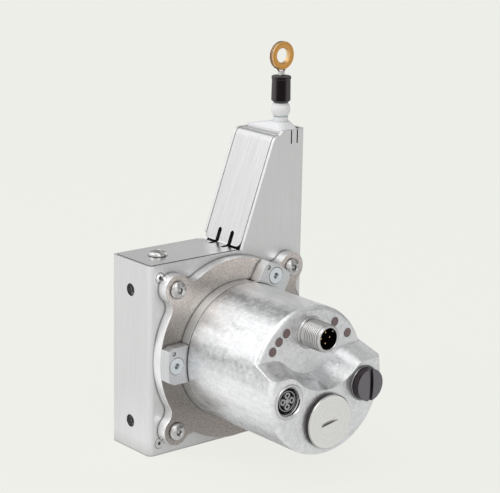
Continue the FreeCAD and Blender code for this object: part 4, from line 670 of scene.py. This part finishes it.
PAINTED = {
    "wall_sheet": ["housing_shell"],
    "strip_sheet": ["closing_strip"],
    "base_sheet": ["base_plate"],
    "block_metal": ["upper_left_block", "lower_left_block", "lower_right_block", "upper_right_block"],
    "flange_metal": ["flange_plate"],
    "ring_metal": ["encoder_ring", "drum", "spring_arbor", "disc_hub"],
    "clamp_metal": ["servo_clamps"],
    "cast_aluminium": ["encoder_body"],
    "screw_steel": ["housing_screws", "top_screw", "flange_screws"],
    "zinc_steel": ["clamp_screws"],
    "shaft_steel": ["ferrule", "encoder_bearing_outers", "encoder_bearing_inners", "encoder_shaft", "drum_shaft",
                    "front_bearing_outer", "front_bearing_inner", "rear_bearing_outer", "rear_bearing_inner"],
    "spring_steel": ["mainspring"],
    "wire_steel": ["wire_winding", "wire_lead"],
    "loop_steel": ["wire_loop"],
    "plug_nickel": ["plug_shell"],
    "port_nickel": ["left_port_shell", "right_port_shell"],
    "cap_nickel": ["screw_cap"],
    "contact_gold": ["plug_pins"],
    "eye_copper": ["thimble"],
    "pillar_brass": ["board_pillars"],
    "white_plastic": ["outlet_insert", "ball_stop", "spring_case", "case_cover", "left_dial", "right_dial"],
    "black_plastic": ["plug_insert", "scan_head"],
    "blank_plastic": ["port_plug"],
    "socket_plastic": ["left_port_insert", "right_port_insert"],
    "grey_plastic": ["preset_button"],
    "switch_plastic": ["switch_bases"],
    "lamp_plastic": ["status_windows"],
    "board_laminate": ["main_board", "connector_board"],
    "disc_glass": ["code_disc"],
    "ceramic": ["wire_bush"],
    "felt": ["wiper"],
    "rubber": ["rubber_sleeve", "port_plug_seal", "screw_cap_seal"],
}
for finish_name, painted in PAINTED.items():
    for painted_node in painted:
        held = nodes[painted_node].data.materials
        held.clear()
        held.append(MATERIALS[finish_name])
missed = set(nodes) - {n for group in PAINTED.values() for n in group}
if missed:
    raise ValueError(f"no finish for {sorted(missed)}")


# ------------------------------------------------------------------ mesh tools

def new_object(name, data):
    """Object in the scene."""
    made = bpy.data.objects.new(name, data)
    bpy.context.scene.collection.objects.link(made)
    return made


def new_piece(name, mesh, material, body, slot, *replaced):
    """Finished mesh as a piece of one body."""
    mesh.materials.clear()
    mesh.materials.append(MATERIALS[material])
    piece = new_object(name, mesh)
    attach(piece, body)
    if replaced:
        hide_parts(*replaced)
    return piece


def ring_stack(rings, segments=48, closed=False):
    """Rings round +Y from (radius, y) pairs, joined last to first if closed. A radius may be a function."""
    shape = bmesh.new()
    rows = []
    for radius, y in rings:
        row = []
        for i in range(segments):
            turn = 2 * math.pi * i / segments
            r = radius(turn) if callable(radius) else radius
            row.append(shape.verts.new((r * math.cos(turn), y, r * math.sin(turn))))
        rows.append(row)
    following = rows[1:] + rows[:1] if closed else rows[1:]
    for low, high in zip(rows, following):
        for i in range(segments):
            j = (i + 1) % segments
            shape.faces.new((low[i], low[j], high[j], high[i]))
    if not closed:
        shape.faces.new(rows[0])
        shape.faces.new(rows[-1])
    bmesh.ops.remove_doubles(shape, verts=shape.verts, dist=1e-5)
    bmesh.ops.recalc_face_normals(shape, faces=shape.faces)
    return shape


def set_down(shape, name, place, smooth_under=35.0):
    """Mesh out of a bmesh, in metres at its place, with its sharp edges marked."""
    bmesh.ops.scale(shape, vec=(MM,) * 3, verts=shape.verts)
    bmesh.ops.translate(shape, vec=Vector(place) * MM, verts=shape.verts)
    for face in shape.faces:
        face.smooth = True
    for edge in shape.edges:
        if len(edge.link_faces) == 2 and edge.calc_face_angle(0) > math.radians(smooth_under):
            edge.smooth = False
    mesh = bpy.data.meshes.new(name)
    shape.to_mesh(mesh)
    shape.free()
    return mesh


def hexagon_edge(across):
    """Radius of a hexagon at each turn."""
    side = math.radians(60)
    return lambda turn: across / 2 / math.cos((turn + side / 2) % side - side / 2)


def turned_by(shape, degrees, axis):
    """Turns a bmesh about an axis through the origin."""
    matrix = Matrix.Rotation(math.radians(degrees), 3, axis)
    bmesh.ops.rotate(shape, cent=(0, 0, 0), matrix=matrix, verts=shape.verts)


def plain_mesh(holder, name):
    """A Geometry Nodes result as a plain mesh. The holder goes."""
    bpy.context.view_layer.update()
    graph = bpy.context.evaluated_depsgraph_get()
    mesh = bpy.data.meshes.new_from_object(holder.evaluated_get(graph), depsgraph=graph)
    mesh.name = name
    holder.modifiers.clear()
    bpy.data.objects.remove(holder)
    return mesh


def new_tree(name, inputs):
    """Geometry tree with named inputs, between the start geometry and the finish."""
    tree = bpy.data.node_groups.new(name, "GeometryNodeTree")
    for label, kind, value in [("Geometry", "Geometry", None), *inputs, ("Finish", "Material", None)]:
        made = tree.interface.new_socket(label, in_out="INPUT", socket_type="NodeSocket" + kind)
        if value is not None:
            made.default_value = value
    tree.interface.new_socket("Geometry", in_out="OUTPUT", socket_type="NodeSocketGeometry")
    return tree, node(tree, "NodeGroupInput").outputs, node(tree, "NodeGroupOutput").inputs


def end_tree(tree, geometry, material, out):
    """Realize Instances and Set Material, and the tree's output."""
    real = node(tree, "GeometryNodeRealizeInstances", {0: geometry}).outputs[0]
    finished = node(tree, "GeometryNodeSetMaterial", {"Geometry": real, "Material": material})
    tree.links.new(finished.outputs[0], out[0])
    return tree


def grow(tree, inputs, start_mesh=None):
    """Runs a tree on an object and gives its holder. Inputs are set by identifier."""
    holder = new_object("holder", start_mesh or bpy.data.meshes.new("start"))
    modifier = holder.modifiers.new("grown", "NODES")
    modifier.node_group = tree
    names = {item.name: item.identifier for item in tree.interface.items_tree
             if item.item_type == "SOCKET" and item.in_out == "INPUT"}
    for label, value in inputs.items():
        modifier[names[label]] = value
    return holder


def helix_tree():
    """Thread ridge or wound wire: a profile drawn along a helix about Y."""
    tree, given, out = new_tree("helix", [
        ("Radius", "Float", 0.006), ("Turns", "Float", 8.0), ("Length", "Float", 0.008),
        ("Profile", "Float", 0.0005), ("Sides", "Int", 4), ("Steps", "Int", 48), ("Place", "Vector", (0, 0, 0))])
    path = node(tree, "GeometryNodeCurveSpiral", {
        "Resolution": given["Steps"], "Rotations": given["Turns"], "Start Radius": given["Radius"],
        "End Radius": given["Radius"], "Height": given["Length"]}).outputs[0]
    upright = node(tree, "GeometryNodeSetCurveNormal", {"Curve": path}, mode="Z_UP").outputs[0]
    profile = node(tree, "GeometryNodeCurvePrimitiveCircle", {
        "Resolution": given["Sides"], "Radius": given["Profile"]}).outputs[0]
    ridge = node(tree, "GeometryNodeCurveToMesh", {
        "Curve": upright, "Profile Curve": profile, "Fill Caps": True}).outputs[0]
    placed = node(tree, "GeometryNodeTransform", {
        "Geometry": ridge, "Rotation": (-math.pi / 2, 0, 0), "Translation": given["Place"]}).outputs[0]
    return end_tree(tree, placed, given["Finish"], out)


HELIX = helix_tree()


def helix(name, radius, pitch, length, place, material, profile=None, sides=4, steps=48):
    """Plain mesh of a helix that starts at place and runs towards +Y."""
    holder = grow(HELIX, {"Radius": radius * MM, "Turns": length / pitch, "Length": length * MM,
                          "Profile": (profile or pitch / 2) * MM, "Sides": sides, "Steps": steps,
                          "Place": tuple(v * MM for v in place), "Finish": MATERIALS[material]})
    return plain_mesh(holder, name)


def welded(name, *meshes):
    """Several meshes as one."""
    whole = bmesh.new()
    for mesh in meshes:
        whole.from_mesh(mesh)
    mesh = bpy.data.meshes.new(name)
    whole.to_mesh(mesh)
    whole.free()
    return mesh


def repeat_tree():
    """One turned item set down at each point of the start mesh."""
    tree, given, out = new_tree("repeated", [("Item", "Object", None), ("Turn", "Float", 0.0)])
    item = node(tree, "GeometryNodeObjectInfo", {"Object": given["Item"]}).outputs["Geometry"]
    chance = node(tree, "FunctionNodeRandomValue", {"Min": 0.0, "Max": 1.0, "Seed": 7}, data_type="FLOAT")
    amount = [s for s in chance.outputs if s.enabled][0]
    turn = node(tree, "ShaderNodeCombineXYZ", {"Y": times(tree, amount, given["Turn"])}).outputs[0]
    set_out = node(tree, "GeometryNodeInstanceOnPoints", {
        "Points": given["Geometry"], "Instance": item, "Rotation": turn}).outputs[0]
    return end_tree(tree, set_out, given["Finish"], out)


REPEATED = repeat_tree()


def repeated(name, shape, places, material, turn=0.0):
    """The shape, made about the origin, at each place in millimetres, with a chance turn about Y."""
    item = new_object("item", set_down(shape, "item", (0, 0, 0)))
    points = bpy.data.meshes.new("points")
    points.from_pydata([Vector(p) * MM for p in places], [], [])
    holder = grow(REPEATED, {"Item": item, "Turn": turn, "Finish": MATERIALS[material]}, points)
    mesh = plain_mesh(holder, name)
    bpy.data.objects.remove(item)
    return mesh


# ---------------------------------------------------------------------- pieces

# Shares of a button head: foot and rise of its dome, crown round the socket, depth of the socket
HEAD_FOOT, HEAD_RISE, HEAD_CROWN, HEAD_SOCKET = 0.30, 0.79, 1.22, 0.72
DOME_ANGLES = (0, 12, 24, 36, 48)


def button_screw(form, length):
    """Button-head screw with a domed head, driven towards +Y from y = 0."""
    shank, head, height, across = form
    hexagon = hexagon_edge(across)
    socket = height * HEAD_SOCKET
    dome = [(head * math.cos(angle), -HEAD_FOOT * height - HEAD_RISE * height * math.sin(angle))
            for angle in map(math.radians, DOME_ANGLES)]
    dome.append((across / math.sqrt(3) * HEAD_CROWN, -height))
    return ring_stack([(shank, length), (shank, 0.05), (head - 0.15, 0.0), (head, -0.15), *dome,
                       (hexagon, -height + 0.3), (hexagon, -height + socket),
                       (across * 0.3, -height + socket + 0.25)])


def make_button_screws():
    """The flange's ear screws, and the screw in the top plate."""
    ears = [(sx * EAR_OFFSET, FLANGE_Y, AXIS_Z + sz * EAR_OFFSET) for sx in (-1, 1) for sz in (-1, 1)]
    mesh = repeated("ear_screws", button_screw(EAR_SCREW, EAR_SCREW_L), ears, "screw_steel", 1.0)
    new_piece("ear_screws", mesh, "screw_steel", "housing", "screw_steel", "flange_screws")
    shape = button_screw(TOP_SCREW, TOP_SCREW_L)
    turned_by(shape, -90, "X")
    mesh = set_down(shape, "top_plate_screw", (TOP_SCREW_X, 0, STRIP_Z))
    new_piece("top_plate_screw", mesh, "screw_steel", "housing", "screw_steel", "top_screw")


def four_places(x, z):
    """Where a connector's four contacts sit round its axis."""
    return [(x + PIN_CIRCLE * math.cos(turn), 0, z + PIN_CIRCLE * math.sin(turn))
            for turn in (math.radians(90 * i) for i in range(4))]


def make_plug():
    """Plug connector: turned shell with its M12 thread, carrier and pins."""
    mouth = PLUG_END
    place = (0, 0, PLUG_Z)
    collar = UPPER_Y - PLUG_COLLAR_T
    thread_end = collar - THREAD_RUNOUT
    core = THREAD_R - THREAD_PITCH / 2
    shell = ring_stack([
        (PLUG_BORE_R, CAVITY_Y), (PLUG_BORE_R, mouth + 0.25), (PLUG_BORE_R + 0.25, mouth),
        (THREAD_R - 0.75, mouth), (THREAD_R - 0.3, mouth + 0.4), (THREAD_R - 0.3, mouth + 1.2),
        (core, mouth + 1.5), (core, thread_end), (THREAD_R - 0.2, thread_end + 0.2), (THREAD_R - 0.2, collar),
        (PLUG_COLLAR_R - 0.3, collar), (PLUG_COLLAR_R, collar + 0.3), (PLUG_COLLAR_R, UPPER_Y),
        (PLUG_SEAT_R, UPPER_Y), (PLUG_SEAT_R, CAVITY_Y)], 64, closed=True)
    mesh = set_down(shell, "plug_barrel", place)
    ridge = helix("plug_thread", core, THREAD_PITCH, thread_end - mouth - 1.7, (0, mouth + 1.6, PLUG_Z),
                  "plug_nickel")
    new_piece("plug_barrel", welded("plug_barrel", mesh, ridge), "plug_nickel", "housing", "nickel_plate",
              "plug_shell")
    tip = PLUG_END + PIN_SUNK
    pin = ring_stack([(0.12, tip), (PIN_R * 0.7, tip + 0.12), (PIN_R, tip + 0.5), (PIN_R, BOARD_Y - 0.02)], 16)
    mesh = repeated("contact_pins", pin, four_places(0, PLUG_Z), "contact_gold")
    new_piece("contact_pins", mesh, "contact_gold", "housing", "contact_gold", "plug_pins")
    key = bmesh.new()
    bmesh.ops.create_cube(key, size=1.0)
    bmesh.ops.scale(key, vec=KEY_SIZE, verts=key.verts)
    bmesh.ops.bevel(key, geom=key.edges, offset=0.12, segments=2, affect="EDGES")
    inwards = PLUG_END + PLUG_RECESS - KEY_SIZE[1] / 2
    bmesh.ops.translate(key, vec=(0, inwards, PLUG_BORE_R - 0.35), verts=key.verts)
    turned_by(key, KEY_TURN, "Y")
    new_piece("plug_key", set_down(key, "plug_key", place), "plug_nickel", "housing", "nickel_plate")
    bore = PLUG_BORE_R - 0.01
    lining = ring_stack([(bore, mouth + 0.3), (bore - 0.1, mouth + 0.4), (bore - 0.1, mouth + PLUG_RECESS),
                         (bore, mouth + PLUG_RECESS)], closed=True)
    new_piece("plug_lining", set_down(lining, "plug_lining", place), "black_plastic", "housing", "black_plastic")


def make_port(side, name):
    """Socket connector: shell with its inner thread, and carrier with raised contact collars."""
    x = side * PORT_X
    place = (x, 0, PORT_Z)
    face = LOWER_Y - PORT_PROUD
    end = LOWER_Y + PORT_L
    floor = end - PORT_FLOOR
    seat = SOCKET_R + 0.02
    shell = ring_stack([
        (PORT_R, end), (PORT_R, face + 0.25), (PORT_R - 0.25, face), (PORT_THREAD_R + 0.5, face),
        (PORT_THREAD_R, face + 0.5), (PORT_THREAD_R, floor), (seat, floor), (seat, end)], 64, closed=True)
    mesh = set_down(shell, name + "_socket_shell", place)
    ridge = helix("thread", PORT_THREAD_R, THREAD_PITCH, floor - face - 1.3, (x, face + 0.9, PORT_Z),
                  "port_nickel", PORT_RIDGE)
    # The right shell takes the darker metal: painted shade round the blank plug.
    shell_finish = "port_nickel" if side < 0 else "painted_shade_metal"
    new_piece(name + "_socket_shell", welded(name + "_socket_shell", mesh, ridge), shell_finish, "housing",
              "nickel_plate", name + "_port_shell")
    front = LOWER_Y + SOCKET_RECESS
    deep = front + COLLAR_DEPTH
    inside = SOCKET_R - SOCKET_RIM
    collar = ring_stack([(SOCKET_HOLE_R, deep), (SOCKET_HOLE_R, front + 0.15), (SOCKET_HOLE_R + 0.15, front),
                         (COLLAR_R - 0.12, front), (COLLAR_R, front + 0.12), (COLLAR_R, deep)], 24, closed=True)
    collars = repeated("collars", collar, four_places(x, PORT_Z), "socket_plastic")
    core = set_down(ring_stack([(COLLAR_CORE_R, front + 0.1), (COLLAR_CORE_R, deep)], 24), "core", place)
    rim = ring_stack([(SOCKET_R, front + 0.2), (inside, front + 0.2), (inside, deep), (SOCKET_R, deep)],
                     closed=True)
    foot = ring_stack([(SOCKET_R, deep + 0.02), (SOCKET_R, end)])
    carrier = welded(name + "_contact_collars", collars, core, set_down(rim, "rim", place))
    new_piece(name + "_contact_collars", carrier, "socket_plastic", "housing", "grey_plastic",
              name + "_port_insert")
    new_piece(name + "_socket_floor", set_down(foot, name + "_socket_floor", place), "black_plastic", "housing",
              "black_plastic")


def make_side_threads():
    """Threads that show in the side mounting holes."""
    meshes = []
    for z in SIDE_HOLE_Z:
        mesh = helix("side_thread", SIDE_THREAD_R, SIDE_PITCH, SIDE_THREAD_L, (0, 0, 0), "block_metal",
                     SIDE_RIDGE)
        mesh.transform(Matrix.Translation(Vector((SIDE_HOLE_X, 0, z)) * MM)
                       @ Matrix.Rotation(math.radians(-90), 4, "Z"))
        meshes.append(mesh)
    new_piece("side_threads", welded("side_threads", *meshes), "painted_shade_metal", "housing", "machined_aluminium")


def make_winding():
    """Wound wire on the drum, turn beside turn."""
    span = (int(WINDING_W / WIRE_D) - 1) * WIRE_D
    mesh = helix("wound_wire", WIRE_X, WIRE_D, span, (0, WIRE_Y - span / 2, AXIS_Z), "wire_steel",
                 WIRE_D / 2 - 0.005, 8, 96)
    new_piece("wound_wire", mesh, "wire_steel", "drum", "wire_steel", "wire_winding")


def make_lead():
    """Wire from the drum to the ball stop. The real wire draws out with the wire end; this mesh stays where it is
    set.
    """
    lead = bmesh.new()
    turns = [math.tau * k / WIRE_SIDES for k in range(WIRE_SIDES)]
    section = [(WIRE_D / 2 * math.cos(turn), WIRE_D / 2 * math.sin(turn)) for turn in turns]
    rows = []
    for i in range(LEAD_STEPS + 1):
        z = LEAD_FOOT + (BALL_Z - LEAD_FOOT) * i / LEAD_STEPS
        rows.append([lead.verts.new((*point, z)) for point in section])
    for low, high in zip(rows, rows[1:]):
        for k in range(WIRE_SIDES):
            j = (k + 1) % WIRE_SIDES
            lead.faces.new((low[k], low[j], high[j], high[k]))
    lead.faces.new(rows[0][::-1])
    lead.faces.new(rows[-1])
    mesh = set_down(lead, "drawn_wire", (WIRE_X, WIRE_Y, 0), smooth_under=60)
    mesh.materials.append(MATERIALS["wire_steel"])
    piece = new_object("drawn_wire", mesh)
    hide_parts("wire_lead")
    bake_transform(piece)


make_button_screws()
make_plug()
make_port(-1, "left")
make_port(1, "right")
make_side_threads()
make_winding()
make_lead()


# ------------------------------------------------------- floor, light and camera

# Sky level from the left side (0) to the right side (1), as the metal mirrors it
SKY_FROM_LEFT = ((0.0, 0.7), (0.16, 0.88), (0.36, 1.12), (0.50, 1.15), (0.56, 0.75), (0.60, 0.36), (0.70, 0.46),
                 (0.81, 0.62), (0.90, 0.40), (1.0, 0.30))

# Floor levels as the metal mirrors them, and the places they are measured from
FLOOR_BACK_TO_FRONT = (0.88, 0.66)
FLOOR_LEFT_LIFT = 0.3
FLOOR_FAR_LIFT = 0.08
# Painted light and shade in the mirrored floor: brighter beside the encoder's left, and painted shade under the
# encoder.
FLOOR_BESIDE_LIFT = 0.28
FLOOR_UNDER = 0.93
BESIDE = (-0.065, 0, 0)
UNDER = (0, -0.04, 0)
MIRROR_SHARE = 0.85                     # of those levels in the mirrored floor
PAPER_SHARE = 0.92                      # of even paper in the floor that the camera sees
FLOOR_HALF = 14.0

# Soft boxes: place, size and watts
SOFT_BOXES = {"key": ((-0.75, 0.35, 0.75), 0.7, 2.8),
              "front": ((-0.40, -1.0, 0.90), 0.4, 1.0),
              "top": ((-0.05, -0.05, 1.2), 0.5, 0.5)}
LIT_PLACE = (0, -0.03, 0.07)


def both_shaders(tree, factor, a, b):
    """Shader between a and b."""
    return node(tree, "ShaderNodeMixShader", {0: factor, 1: a, 2: b}).outputs[0]


def make_floor():
    """Pale floor. The camera sees it even, and the metal mirrors its levels."""
    tree, shader = finish("floor_paint", Base_Color=(0.80, 0.81, 0.77, 1), Roughness=0.9)
    plain = shader.outputs[0]
    paper = node(tree, "ShaderNodeEmission", {"Color": PALE, "Strength": 1.0}).outputs[0]
    ray = node(tree, "ShaderNodeLightPath").outputs
    place = parts_of(tree, object_place(tree))
    to_front_right = minus(tree, times(tree, place["X"], 0.62), times(tree, place["Y"], 0.75))
    to_front_left = minus(tree, times(tree, place["X"], -0.73), times(tree, place["Y"], 0.6))
    level = plus(tree, spread(tree, to_front_right, -0.15, 0.15, *FLOOR_BACK_TO_FRONT),
                 spread(tree, to_front_left, 0.05, 0.4, 0.0, FLOOR_LEFT_LIFT))
    level = plus(tree, level, spread(tree, to_front_right, 0.2, 0.5, 0.0, FLOOR_FAR_LIFT))
    beside = vectors(tree, "DISTANCE", object_place(tree), BESIDE)
    level = plus(tree, level, spread(tree, beside, 0.0, 0.07, FLOOR_BESIDE_LIFT, 0.0))
    away = vectors(tree, "DISTANCE", object_place(tree), UNDER)
    level = times(tree, level, spread(tree, away, 0.02, 0.11, FLOOR_UNDER, 1.0))
    glow = node(tree, "ShaderNodeEmission", {"Color": grey(1.0), "Strength": level}).outputs[0]
    by_mirror = sums(tree, "MAXIMUM", ray["Is Glossy Ray"], ray["Is Transmission Ray"])
    paint = both_shaders(tree, by_mirror, plain, both_shaders(tree, MIRROR_SHARE, plain, glow))
    paint = both_shaders(tree, ray["Is Camera Ray"], paint, both_shaders(tree, PAPER_SHARE, plain, paper))
    tree.links.new(paint, tree.nodes["Material Output"].inputs[0])
    floor = bmesh.new()
    bmesh.ops.create_grid(floor, x_segments=8, y_segments=8, size=FLOOR_HALF)
    mesh = bpy.data.meshes.new("floor")
    floor.to_mesh(mesh)
    floor.free()
    mesh.materials.append(MATERIALS["floor_paint"])
    ground = new_object("floor", mesh)


def make_sky():
    """Soft sky that is darker on the right. The camera sees it pale and even."""
    world = bpy.data.worlds.new("studio")
    bpy.context.scene.world = world
    world.use_nodes = True
    tree = world.node_tree
    tree.nodes.clear()
    towards = parts_of(tree, node(tree, "ShaderNodeTexCoord").outputs["Generated"])
    sky = ramp(tree, spread(tree, towards["X"], -1.0, 1.0), SKY_FROM_LEFT)
    light, pale = [node(tree, "ShaderNodeBackground", {"Color": colour, "Strength": 1.0}).outputs[0]
                   for colour in (sky, PALE)]
    ray = node(tree, "ShaderNodeLightPath").outputs
    node(tree, "ShaderNodeOutputWorld", {"Surface": both_shaders(tree, ray["Is Camera Ray"], light, pale)})


def make_soft_boxes():
    """Three square lamps, each turned to the encoder."""
    for name, (place, size, watts) in SOFT_BOXES.items():
        lamp = bpy.data.lights.new(name, "AREA")
        lamp.shape = "SQUARE"
        lamp.size = size
        lamp.energy = watts
        box = new_object(name, lamp)
        box.location = place
        box.rotation_euler = (Vector(LIT_PLACE) - Vector(place)).to_track_quat("-Z", "Y").to_euler()
        box.visible_camera = False


def make_camera():
    """Camera at the photograph's place."""
    az, el, roll = (math.radians(v) for v in (CAMERA_AZIMUTH, CAMERA_ELEVATION, CAMERA_ROLL))
    back = Vector((math.sin(az) * math.cos(el), -math.cos(az) * math.cos(el), math.sin(el)))
    right = Vector((0, 0, 1)).cross(back).normalized()
    up = back.cross(right)
    across = right * math.cos(roll) + up * math.sin(roll)
    above = up * math.cos(roll) - right * math.sin(roll)
    data = bpy.data.cameras.new("camera")
    data.sensor_width = SENSOR
    data.lens = CAMERA_LENS
    data.clip_start = 0.05
    data.clip_end = 60
    camera = new_object("camera", data)
    turned = Matrix((across, above, back)).transposed().to_4x4()
    camera.matrix_world = Matrix.Translation(Vector(CAMERA_PLACE) * MM) @ turned
    bpy.context.scene.camera = camera


make_floor()
make_sky()
make_soft_boxes()
make_camera()
bpy.context.scene.view_settings.view_transform = "Standard"
